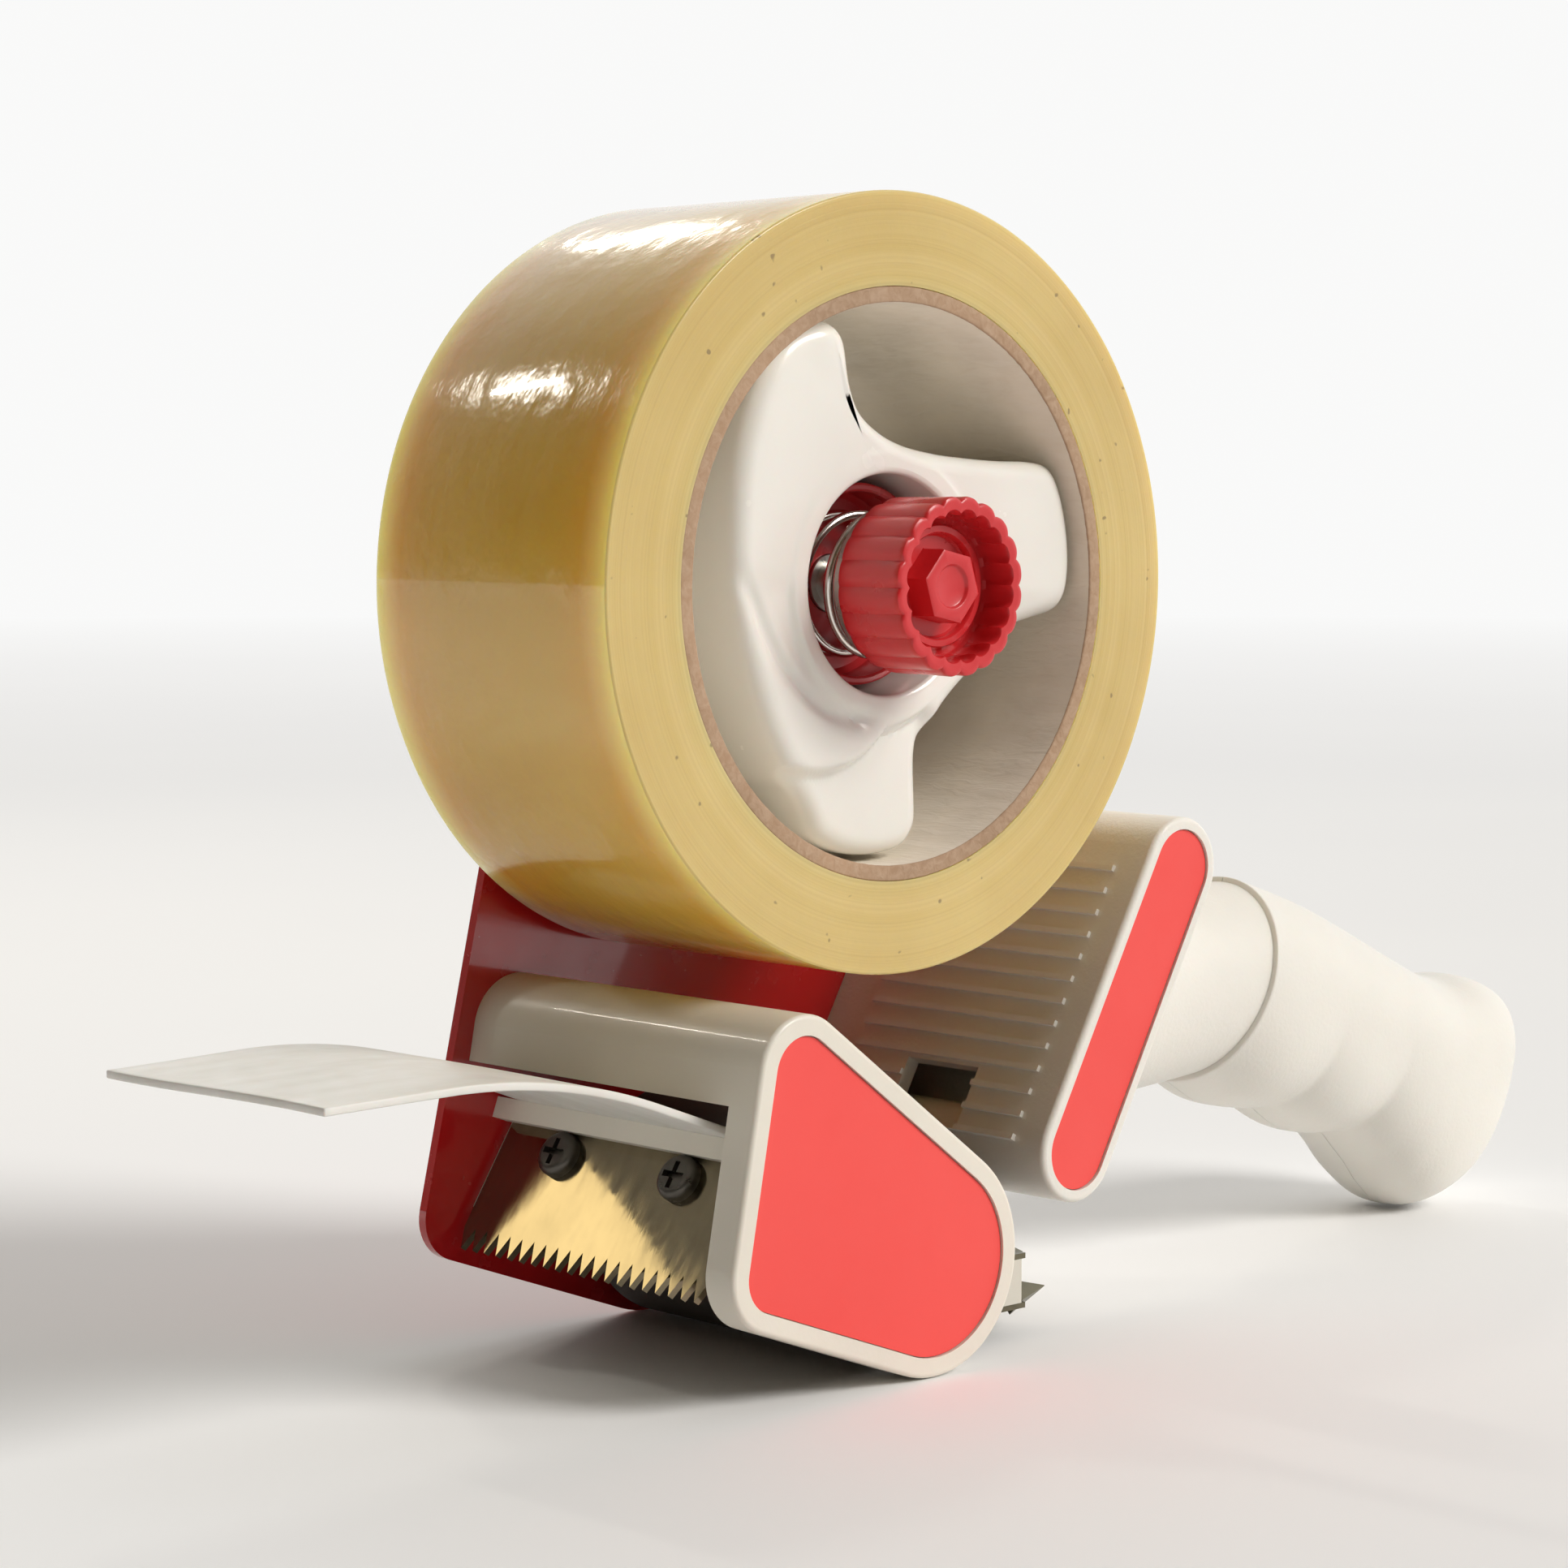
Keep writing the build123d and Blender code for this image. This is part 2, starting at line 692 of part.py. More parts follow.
# ---- grip shells ----
def grip_post(along, up, r, y_low, y_high):
    tilt = math.radians(grip_tilt)
    x = grip_collar[0] + grip_axis[0] * along + math.sin(tilt) * up
    z = grip_collar[1] + grip_axis[1] * along + math.cos(tilt) * up
    return rod((x, z), r, y_low, y_high)


def make_grip_solid(inset, start, stop):
    sections = [s for s in grip_sections if start <= s[0] <= stop]
    return loft([grip_plane(u) * oval(top, bottom, half, inset) for u, top, bottom, half in sections])


def make_grip_halves():
    last = grip_sections[-1][0]
    outer = make_grip_solid(0, 0, last)
    shell = outer - make_grip_solid(grip_wall, 0, grip_sections[-2][0])
    posts = Part()
    bores = Part()
    reach = grip_cut / 4
    head_y = grip_mid_y + grip_screw_seat
    for along, up in grip_screw_places:
        posts += grip_post(along, up, grip_post_r, grip_mid_y - reach, grip_mid_y + reach)
        deep = head_y - grip_screw_length - seat_gap
        bores += grip_post(along, up, grip_screw_r + screw_gap, deep, grip_mid_y + reach)
        bores += grip_post(along, up, grip_screw_head_r + seat_gap, head_y, grip_mid_y + reach)
    solid = shell + (posts & make_grip_solid(grip_wall / 2, 0, last)) - bores
    near_room = Box(grip_cut, grip_cut, grip_cut, align=(Align.CENTER, Align.MAX, Align.CENTER))
    far_room = Box(grip_cut, grip_cut, grip_cut, align=(Align.CENTER, Align.MIN, Align.CENTER))
    near = solid & Pos(grip_collar[0], grip_mid_y - grip_split_gap / 2, grip_collar[1]) * near_room
    far = solid & Pos(grip_collar[0], grip_mid_y + grip_split_gap / 2, grip_collar[1]) * far_room
    return near, far


def make_grip_screws():
    head_y = grip_mid_y + grip_screw_seat
    tilt = math.radians(grip_tilt)
    screw = pan_screw(grip_screw_head_r, grip_screw_head_h, grip_screw_r, grip_screw_length)
    placed = []
    for along, up in grip_screw_places:
        x = grip_collar[0] + grip_axis[0] * along + math.sin(tilt) * up
        z = grip_collar[1] + grip_axis[1] * along + math.cos(tilt) * up
        face = Plane(origin=(x, head_y, z), x_dir=(1, 0, 0), z_dir=(0, 1, 0))
        placed.append(face.location * screw)
    return Compound(children=placed)


# ---- roll, core and hub ----
def make_tape_roll():
    return tube(axle, tape_outer_r, core_outer_r, -half_tape, half_tape)


def make_card_core():
    return tube(axle, core_outer_r, core_inner_r, -half_tape, half_tape)


bush_r = axle_r + bush_wall


def hub_star(r, inset):
    """The hub's outline: a round middle, a full belly to the front and three arms that reach the core."""
    first, last = hub_arm_angles[1], hub_arm_angles[2]
    belly = [(0, 0)]
    for angle in (first, (first + last) / 2, last):
        turn = math.radians(angle)
        belly.append((2 * r * math.cos(turn), 2 * r * math.sin(turn)))
    star = Circle(hub_boss_r) + (Circle(hub_belly_r - inset) & make_face(Polyline(*belly, close=True)))
    for angle in hub_arm_angles:
        arm = Rectangle(2 * r, 2 * (hub_arm_half - inset), align=(Align.MIN, Align.CENTER))
        star += Rot(0, 0, angle) * arm
    return star & Circle(r)


def make_hub():
    r = core_inner_r + core_grip
    body = prism(hub_star(r, 0), hub_front_y, hub_back_y)
    body = fillet(body.faces().sort_by(Axis.Y)[0].edges(), hub_edge_round)
    inner = hub_star(r - hub_pad_wall, hub_skin)
    core = rod(axle, hub_boss_r, hub_front_y, hub_back_y)
    body -= prism(inner, hub_front_y + hub_face_thick, hub_back_y) - core
    body -= rod(axle, hub_cup_well_r, hub_front_y, hub_floor_y)
    body -= tube(axle, hub_boss_r - hub_skin, bush_r + hub_skin, hub_floor_y + hub_floor_thick, hub_back_y)
    tab_low = half_tape + seat_gap
    tabs = prism(hub_star(hub_flange_r, 0), tab_low, tab_low + hub_flange_thick)
    body += tabs - rod(axle, hub_belly_r, tab_low, tab_low + hub_flange_thick)
    return body - rod(axle, bush_r, hub_front_y, hub_back_y + hub_flange_thick)


flange_face_y = plate_inner_y - axle_flange_h


def make_hub_bush():
    return tube(axle, bush_r, axle_r + running_gap, hub_floor_y, flange_face_y - face_gap)


def make_axle():
    flange = rod(axle, axle_flange_r, flange_face_y, plate_inner_y)
    outside = plate_outer_y + washer_thick + axle_nut_h + axle_end_spare
    shank = rod(axle, axle_r, thread_start_y, outside)
    thread = rod(axle, axle_thread_r, axle_end_y, thread_start_y)
    return flange + shank + thread


def make_axle_washer():
    return tube(axle, washer_r, axle_r + screw_gap, plate_outer_y, plate_outer_y + washer_thick)


def hex_nut(across, r_in, y_low, y_high):
    outline = RegularPolygon(across / 2, 6, major_radius=False)
    return prism(outline - Circle(r_in), y_low, y_high)


def make_axle_nut():
    low = plate_outer_y + washer_thick
    return hex_nut(axle_nut_across, axle_r + screw_gap, low, low + axle_nut_h)


# ---- tension brake: washer, cup, spring and knob, stacked along the axle ----
friction_high = hub_floor_y - face_gap
friction_low = friction_high - friction_thick
cup_floor_low = friction_low - cup_floor
thread_start_y = cup_floor_low - 0.5
spring_low = knob_back_y + pressure_washer_thick


def make_friction_washer():
    return tube(axle, friction_r, axle_r + screw_gap, friction_low, friction_high)


def make_brake_cup():
    cup = rod(axle, cup_r, cup_rim_y, friction_low)
    cup -= rod(axle, cup_r - cup_wall, cup_rim_y, cup_floor_low)
    return cup - rod(axle, axle_r + screw_gap, cup_floor_low, friction_low)


def make_tension_spring():
    height = cup_floor_low - spring_low - 2 * spring_wire_r
    pitch = height / spring_turns
    path = Helix(pitch=pitch, height=height, radius=spring_r)
    start = Plane(origin=path @ 0, z_dir=path % 0)
    coil = sweep(start * Circle(spring_wire_r), path=path)
    along_y = Plane(origin=(0, cup_floor_low - spring_wire_r, 0), x_dir=(1, 0, 0), z_dir=(0, -1, 0))
    return along_y.location * coil


def make_pressure_washer():
    return tube(axle, pressure_washer_r, axle_thread_r + thread_gap, knob_back_y, spring_low)


def knob_outline(r):
    """A round with shallow convex flutes all the way round."""
    flute_r = math.pi * r / knob_scallops
    outline = Circle(r - knob_scallop)
    for i in range(knob_scallops):
        outline += Rot(0, 0, 360 * i / knob_scallops) * Pos(r - flute_r, 0) * Circle(flute_r)
    return outline


nut_low = knob_back_y - face_gap - nut_h


def make_tension_knob():
    back = knob_back_y - face_gap
    floor = back - knob_floor
    shell = prism(knob_outline(knob_r), knob_front_y, back)
    shell -= rod(axle, knob_r - knob_scallop - knob_wall, knob_front_y, floor)
    ring_front = knob_front_y + knob_ring_back
    shell += tube(axle, knob_ring_r, knob_ring_r - knob_ring_wall, ring_front, floor)
    hexagon = RegularPolygon(knob_hex_across / 2, 6, major_radius=False)
    hex_front = knob_front_y + knob_hex_back
    shell += prism(hexagon, hex_front, floor)
    dimple_in = knob_dimple_r - knob_dimple_wall
    shell -= tube(axle, knob_dimple_r, dimple_in, hex_front, hex_front + knob_dimple_depth)
    pocket = RegularPolygon(nut_across / 2 + screw_gap, 6, major_radius=False)
    shell -= prism(pocket, nut_low, back)
    bore_front = axle_end_y - knob_travel - knob_clearance
    return shell - rod(axle, axle_thread_r + thread_gap, bore_front, back)


def make_knob_nut():
    return hex_nut(nut_across, axle_thread_r + running_gap, nut_low, nut_low + nut_h)


def make_all():
    grip_near, grip_far = make_grip_halves()
    return {
        "side_plate": make_side_plate(),
        "axle": make_axle(),
        "axle_washer": make_axle_washer(),
        "axle_nut": make_axle_nut(),
        "front_housing": make_front_housing(),
        "housing_inlay": make_housing_inlay(),
        "housing_screws": make_frame_screws(housing_screw_places),
        "cutter_blade": make_blade(),
        "blade_screws": make_blade_screws(),
        "wiper_root": make_wiper_root(),
        "wiper_tongue": make_wiper_tongue(),
        "wiper_clamp": make_wiper_clamp(),
        "wiper_rivets": make_wiper_rivets(),
        "roller_tyre": make_roller_tyre(),
        "roller_core": make_roller_core(),
        "roller_pin": make_roller_pin(),
        "roller_clip": make_roller_clip(),
        "guide_block": make_guide_block(),
        "tape_guide": make_tape_guide(),
        "guide_screw": make_guide_screw(),
        "handle_bracket": make_handle_bracket(),
        "bracket_inlay": make_bracket_inlay(),
        "bracket_screws": make_frame_screws(bracket_screw_places),
        "grip_near": grip_near,
        "grip_far": grip_far,
        "grip_screws": make_grip_screws(),
        "tape_roll": make_tape_roll(),
        "card_core": make_card_core(),
        "hub": make_hub(),
        "hub_bush": make_hub_bush(),
        "friction_washer": make_friction_washer(),
        "brake_cup": make_brake_cup(),
        "tension_spring": make_tension_spring(),
        "pressure_washer": make_pressure_washer(),
        "tension_knob": make_tension_knob(),
        "knob_nut": make_knob_nut(),
    }


pieces = make_all()
box = Compound(children=[Compound(piece.wrapped) for piece in pieces.values()]).bounding_box()
to_ground = Pos(-(box.min.X + box.max.X) / 2, -(box.min.Y + box.max.Y) / 2, -box.min.Z)
os.makedirs("parts", exist_ok=True)
for name, piece in pieces.items():
    export_step(to_ground * piece, f"parts/{name}.step")
shift = to_ground.position
print("overall size", box.size)
print("axle centre", shift.X, shift.Z)
print("roller centre", roller_centre[0] + shift.X, roller_centre[1] + shift.Z)
print("tongue hinge", hinge[0] + shift.X, hinge[1] + shift.Z)
print("shift", shift)
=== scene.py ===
import math

import bmesh
import bpy
from mathutils import Matrix, Vector, noise


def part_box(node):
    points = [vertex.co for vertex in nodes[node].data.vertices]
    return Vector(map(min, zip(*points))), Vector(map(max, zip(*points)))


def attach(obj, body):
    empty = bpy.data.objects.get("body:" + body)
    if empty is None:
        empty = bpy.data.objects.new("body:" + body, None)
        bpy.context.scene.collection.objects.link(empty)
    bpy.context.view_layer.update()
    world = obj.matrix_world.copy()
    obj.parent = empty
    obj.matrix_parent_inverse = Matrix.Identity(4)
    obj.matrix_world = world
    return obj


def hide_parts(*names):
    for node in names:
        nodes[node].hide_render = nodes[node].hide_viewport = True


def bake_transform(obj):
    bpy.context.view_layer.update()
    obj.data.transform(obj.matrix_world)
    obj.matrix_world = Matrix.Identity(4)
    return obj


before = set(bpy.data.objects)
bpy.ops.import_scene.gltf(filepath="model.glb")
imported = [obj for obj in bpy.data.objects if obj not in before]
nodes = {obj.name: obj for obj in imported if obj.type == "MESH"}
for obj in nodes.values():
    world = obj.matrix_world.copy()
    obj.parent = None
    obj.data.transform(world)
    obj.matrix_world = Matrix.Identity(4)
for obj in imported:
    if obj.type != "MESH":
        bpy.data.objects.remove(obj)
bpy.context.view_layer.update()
print("frame loaded,", len(nodes), "nodes")

# Everything new is drawn in millimetres about the roll's axle, and placed at the end.
axleLow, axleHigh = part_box("axle")
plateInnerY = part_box("side_plate")[0].y
origin = Vector(((axleLow.x + axleHigh.x) / 2, plateInnerY - 0.0275, (axleLow.z + axleHigh.z) / 2))
toFrame = Matrix.Translation(origin) @ Matrix.Scale(0.001, 4)
axisY = (0, 1, 0)


def localBox(node):
    low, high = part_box(node)
    return (low - origin) * 1000, (high - origin) * 1000


# Camera: a long lens in front of the cutter, on the knob's side.
view = {
    "place": (-0.403596, -0.387890, 0.122235),
    "forward": (0.68611, 0.72319, -0.07910),
    "up": (0.05444, 0.05738, 0.99687),
    "lens": 86.68,
    "sensor": 36,
    "nearest": 0.01,
    "furthest": 200,
}


def addCamera():
    data = bpy.data.cameras.new("mainCamera")
    data.sensor_width = view["sensor"]
    data.lens = view["lens"]
    data.clip_start = view["nearest"]
    data.clip_end = view["furthest"]
    camera = bpy.data.objects.new("mainCamera", data)
    bpy.context.scene.collection.objects.link(camera)
    back = -Vector(view["forward"]).normalized()
    right = Vector(view["up"]).cross(back).normalized()
    up = back.cross(right)
    turn = Matrix((right, up, back)).transposed().to_4x4()
    camera.matrix_world = Matrix.Translation(view["place"]) @ turn
    bpy.context.scene.camera = camera


addCamera()
print("camera placed")


# Materials: patterns read Object coordinates, and even values sit on the shader's own sockets.
def shaderOf(mat):
    return mat.node_tree.nodes["Principled BSDF"]


def newMaterial(name, colour, roughness, **more):
    mat = bpy.data.materials.new(name)
    mat.use_nodes = True
    shader = shaderOf(mat)
    shader.inputs["Base Color"].default_value = (*colour, 1)
    shader.inputs["Roughness"].default_value = roughness
    for socket, value in more.items():
        shader.inputs[socket.replace("_", " ")].default_value = value
    mat.diffuse_color = (*colour, 1)
    return mat


def addNode(mat, kind, links=(), **values):
    node = mat.node_tree.nodes.new(kind)
    for name, value in values.items():
        if name in node.bl_rna.properties:
            setattr(node, name, value)
        else:
            node.inputs[name.replace("_", " ")].default_value = value
    for target, source in links:
        mat.node_tree.links.new(source, node.inputs[target])
    return node


def objectCoords(mat, stretch=(1, 1, 1), centre=(0, 0, 0)):
    coords = addNode(mat, "ShaderNodeTexCoord").outputs["Object"]
    return addNode(
        mat, "ShaderNodeMapping", [("Vector", coords)], Location=centre, Scale=stretch
    ).outputs[0]


def clouds(mat, scale, detail=3, stretch=(1, 1, 1), distortion=0.0):
    coords = objectCoords(mat, stretch)
    return addNode(
        mat,
        "ShaderNodeTexNoise",
        [("Vector", coords)],
        Scale=scale,
        Detail=detail,
        Distortion=distortion,
    ).outputs["Fac"]


def rampOf(mat, fac, *stops):
    ramp = addNode(mat, "ShaderNodeValToRGB", [("Fac", fac)])
    elements = ramp.color_ramp.elements
    while len(elements) < len(stops):
        elements.new(0.5)
    for element, (place, colour) in zip(elements, stops):
        element.position = place
        element.color = (*colour, 1)
    return ramp.outputs["Color"]


def spread(mat, fac, low, high, start=0.3, stop=0.7):
    return addNode(
        mat,
        "ShaderNodeMapRange",
        [("Value", fac)],
        From_Min=start,
        From_Max=stop,
        To_Min=low,
        To_Max=high,
    ).outputs[0]


def mixColours(mat, fac, first, second):
    mix = addNode(mat, "ShaderNodeMix", data_type="RGBA")
    # the mix node's sockets 0, 6 and 7 are its factor and its two colours
    for place, value in ((0, fac), (6, first), (7, second)):
        if isinstance(value, (tuple, float, int)):
            mix.inputs[place].default_value = (*value, 1) if isinstance(value, tuple) else value
        else:
            mat.node_tree.links.new(value, mix.inputs[place])
    return mix.outputs[2]


def bumps(mat, *layers):
    # each layer is (height, strength, distance), and they add up
    normal = None
    for height, strength, distance in layers:
        links = [("Height", height)]
        if normal is not None:
            links.append(("Normal", normal))
        normal = addNode(mat, "ShaderNodeBump", links, Strength=strength, Distance=distance).outputs[0]
    mat.node_tree.links.new(normal, shaderOf(mat).inputs["Normal"])


def feed(mat, socket, source):
    mat.node_tree.links.new(source, shaderOf(mat).inputs[socket])


def tinted(colour, amount):
    return tuple(min(1, c * amount) for c in colour)


def mouldedPlastic(name, colour, gloss, grain=0.05, scatter=0.06):
    mat = newMaterial(name, colour, gloss, Subsurface_Weight=scatter, Subsurface_Scale=0.002)
    shaderOf(mat).inputs["Coat Weight"].default_value = 0.12
    broad = clouds(mat, 28, 4)
    shade = rampOf(mat, broad, (0.3, tinted(colour, 0.95)), (0.7, tinted(colour, 1.04)))
    feed(mat, "Base Color", shade)
    feed(mat, "Roughness", spread(mat, clouds(mat, 90, 5), gloss - 0.05, gloss + 0.08))
    bumps(mat, (clouds(mat, 1500, 2), grain, 0.0003), (clouds(mat, 60, 2), 0.03, 0.001))
    return mat


def paintedMetal(name, colour, gloss):
    mat = newMaterial(name, colour, gloss, Coat_Weight=1.0, Coat_Roughness=0.06)
    broad = clouds(mat, 14, 4, (1, 1, 0.35))
    shade = rampOf(mat, broad, (0.3, tinted(colour, 0.82)), (0.7, tinted(colour, 1.12)))
    feed(mat, "Base Color", shade)
    feed(mat, "Roughness", spread(mat, clouds(mat, 220, 4), gloss - 0.06, gloss + 0.1))
    bumps(mat, (clouds(mat, 420, 2), 0.04, 0.0003), (clouds(mat, 35, 2), 0.03, 0.001))
    return mat


def workedMetal(name, colour, gloss, stretch=(1, 1, 1), lines=900, mottle=0.2, metal=1.0):
    mat = newMaterial(name, colour, gloss, Metallic=metal)
    scratches = clouds(mat, lines, 4, stretch)
    stains = clouds(mat, 120, 5)
    shade = rampOf(mat, stains, (0.3, tinted(colour, 1 - mottle)), (0.72, tinted(colour, 1 + mottle)))
    bright = spread(mat, scratches, 0.0, 0.35)
    feed(mat, "Base Color", mixColours(mat, bright, shade, tinted(colour, 1.5)))
    feed(mat, "Roughness", spread(mat, scratches, gloss - 0.06, gloss + 0.12))
    bumps(mat, (scratches, 0.08, 0.0002))
    return mat


def makeTapeFilm():
    amber = (0.78, 0.50, 0.13)
    mat = newMaterial("tapeFilm", amber, 0.2, Subsurface_Weight=0.8, Subsurface_Scale=0.02, IOR=1.55)
    shader = shaderOf(mat)
    shader.inputs["Subsurface Radius"].default_value = (1.0, 0.62, 0.24)
    shader.inputs["Coat Weight"].default_value = 0.6
    shader.inputs["Coat Roughness"].default_value = 0.045
    shader.inputs["Coat IOR"].default_value = 1.6
    patches = clouds(mat, 26, 3, (1, 0.6, 1), 0.6)
    bands = clouds(mat, 34, 2, (1, 0.04, 1))
    base = rampOf(
        mat, patches, (0.32, (0.66, 0.38, 0.042)), (0.5, (0.72, 0.44, 0.062)), (0.7, (0.78, 0.53, 0.12))
    )
    striped = mixColours(mat, spread(mat, bands, 0.0, 0.5), base, (0.80, 0.52, 0.10))
    # painted light: towards both ends of the roll the colour turns lighter, a painted glow where light
    # shines through the film near its rims
    across = addNode(mat, "ShaderNodeSeparateXYZ", [("Vector", objectCoords(mat, centre=-origin))])
    out = addNode(mat, "ShaderNodeMath", [(0, across.outputs["Y"])], operation="ABSOLUTE").outputs[0]
    edge = spread(mat, out, 0.0, 0.75, 0.0185, 0.0225)
    feed(mat, "Base Color", mixColours(mat, edge, striped, (0.86, 0.67, 0.26)))
    feed(mat, "Roughness", spread(mat, clouds(mat, 70, 4, (1, 0.3, 1)), 0.10, 0.26))
    bumps(
        mat,
        (clouds(mat, 150, 3, (1, 1.4, 1)), 0.25, 0.0012),
        (clouds(mat, 45, 2, (1, 0.2, 1)), 0.25, 0.003),
    )
    return mat


def makeTapeEdge():
    honey = (0.66, 0.50, 0.215)
    mat = newMaterial("tapeEdge", honey, 0.34, Subsurface_Weight=0.4, Subsurface_Scale=0.005)
    shader = shaderOf(mat)
    shader.inputs["Subsurface Radius"].default_value = (1.0, 0.65, 0.25)
    shader.inputs["Coat Weight"].default_value = 0.25
    shader.inputs["Coat Roughness"].default_value = 0.2
    centred = objectCoords(mat, centre=-origin)
    flat = addNode(mat, "ShaderNodeVectorMath", [(0, centred)], operation="MULTIPLY")
    flat.inputs[1].default_value = (1, 0, 1)
    length = addNode(mat, "ShaderNodeVectorMath", [(0, flat.outputs[0])], operation="LENGTH")
    radius = length.outputs["Value"]
    wound = addNode(mat, "ShaderNodeCombineXYZ", [("X", radius)]).outputs[0]
    fine = addNode(mat, "ShaderNodeTexNoise", [("Vector", wound)], Scale=2600, Detail=3).outputs["Fac"]
    broad = addNode(mat, "ShaderNodeTexNoise", [("Vector", wound)], Scale=420, Detail=2).outputs["Fac"]
    cloudy = clouds(mat, 30, 3)
    base = rampOf(mat, cloudy, (0.3, (0.58, 0.41, 0.125)), (0.7, (0.70, 0.53, 0.20)))
    ringed = mixColours(mat, spread(mat, broad, 0.0, 0.4), base, (0.76, 0.60, 0.28))
    lined = mixColours(mat, spread(mat, fine, 0.0, 0.4, 0.45, 0.75), ringed, (0.50, 0.34, 0.12))
    specks = spread(mat, clouds(mat, 520, 1), 0.0, 0.8, 0.76, 0.80)
    feed(mat, "Base Color", mixColours(mat, specks, lined, (0.25, 0.17, 0.07)))
    bumps(mat, (fine, 0.22, 0.0003), (clouds(mat, 900, 2), 0.08, 0.0003))
    return mat


def makeCard(name, colour, fibre):
    mat = newMaterial(name, colour, 0.9)
    weave = clouds(mat, 900, 6, (1, 0.25, 1), 0.8)
    broad = clouds(mat, 60, 4)
    base = rampOf(mat, broad, (0.3, tinted(colour, 0.85)), (0.7, tinted(colour, 1.12)))
    feed(mat, "Base Color", mixColours(mat, spread(mat, weave, 0.0, 0.5), base, fibre))
    bumps(mat, (weave, 0.35, 0.0004), (broad, 0.15, 0.001))
    return mat


def makeInlay():
    coral = (0.90, 0.080, 0.070)
    mat = newMaterial("redInlay", coral, 0.52)
    broad = clouds(mat, 22, 3)
    shade = rampOf(mat, broad, (0.3, (0.88, 0.072, 0.062)), (0.7, (0.93, 0.090, 0.078)))
    feed(mat, "Base Color", shade)
    feed(mat, "Roughness", spread(mat, clouds(mat, 150, 4), 0.46, 0.62))
    bumps(mat, (clouds(mat, 1600, 2), 0.06, 0.0002))
    return mat


def makeFlap():
    white = (0.80, 0.79, 0.745)
    mat = newMaterial("flapPlastic", white, 0.42, Subsurface_Weight=0.1, Subsurface_Scale=0.001)
    streaks = clouds(mat, 160, 5, (0.25, 1, 0.25))
    shade = rampOf(mat, streaks, (0.3, (0.74, 0.725, 0.67)), (0.7, (0.84, 0.83, 0.79)))
    feed(mat, "Base Color", shade)
    feed(mat, "Roughness", spread(mat, clouds(mat, 300, 4), 0.34, 0.55))
    bumps(mat, (streaks, 0.12, 0.0005), (clouds(mat, 1400, 3), 0.1, 0.0002))
    return mat


def makeRubber():
    mat = newMaterial("rollerRubber", (0.045, 0.040, 0.036), 0.62)
    broad = clouds(mat, 70, 5)
    base = rampOf(mat, broad, (0.3, (0.035, 0.031, 0.028)), (0.75, (0.075, 0.065, 0.055)))
    feed(mat, "Base Color", base)
    feed(mat, "Roughness", spread(mat, broad, 0.52, 0.75))
    bumps(mat, (clouds(mat, 1100, 3, (1, 3, 1)), 0.2, 0.0003))
    return mat


finishes = {
    # painted shade, in part: the housing's ivory is a darker, yellower copy of the grip's plastic, which
    # keeps the hood dark as in shade
    "shadedIvory": mouldedPlastic("shadedIvoryPlastic", (0.80, 0.755, 0.66), 0.36),
    "hubIvory": mouldedPlastic("hubPlastic", (0.84, 0.815, 0.755), 0.2, 0.02, 0.12),
    "gripIvory": mouldedPlastic("gripPlastic", (0.83, 0.80, 0.735), 0.46, 0.16, 0.08),
    "enamel": paintedMetal("redEnamel", (0.50, 0.010, 0.012), 0.2),
    "inlay": makeInlay(),
    "film": makeTapeFilm(),
    "tapeEdge": makeTapeEdge(),
    "cardEdge": makeCard("cardEdge", (0.40, 0.255, 0.155), (0.56, 0.41, 0.29)),
    "cardInside": makeCard("cardInside", (0.80, 0.72, 0.59), (0.84, 0.78, 0.68)),
    "knobRed": mouldedPlastic("redPlastic", (0.62, 0.022, 0.027), 0.30, 0.05, 0.05),
    "blade": workedMetal("bladeSteel", (0.23, 0.195, 0.13), 0.11, (0.3, 1, 0.3), 500, 0.12),
    "black": workedMetal("blackSteel", (0.10, 0.092, 0.080), 0.32, (1, 1, 1), 700, 0.35, 0.85),
    "zinc": workedMetal("zincSteel", (0.58, 0.57, 0.53), 0.30, (1, 1, 1), 600, 0.15),
    "spring": workedMetal("springSteel", (0.78, 0.75, 0.69), 0.12, (1, 1, 1), 900, 0.1),
    "claw": workedMetal("clawSteel", (0.17, 0.155, 0.105), 0.34, (1, 1, 1), 500, 0.3, 0.9),
    "brass": workedMetal("brassInsert", (0.72, 0.50, 0.19), 0.25, (1, 1, 1), 600, 0.15),
    "nylon": mouldedPlastic("nylonPlastic", (0.66, 0.63, 0.55), 0.42),
    "fibre": makeCard("fibreWasher", (0.20, 0.095, 0.05), (0.30, 0.16, 0.09)),
    "flap": makeFlap(),
    "rubber": makeRubber(),
}

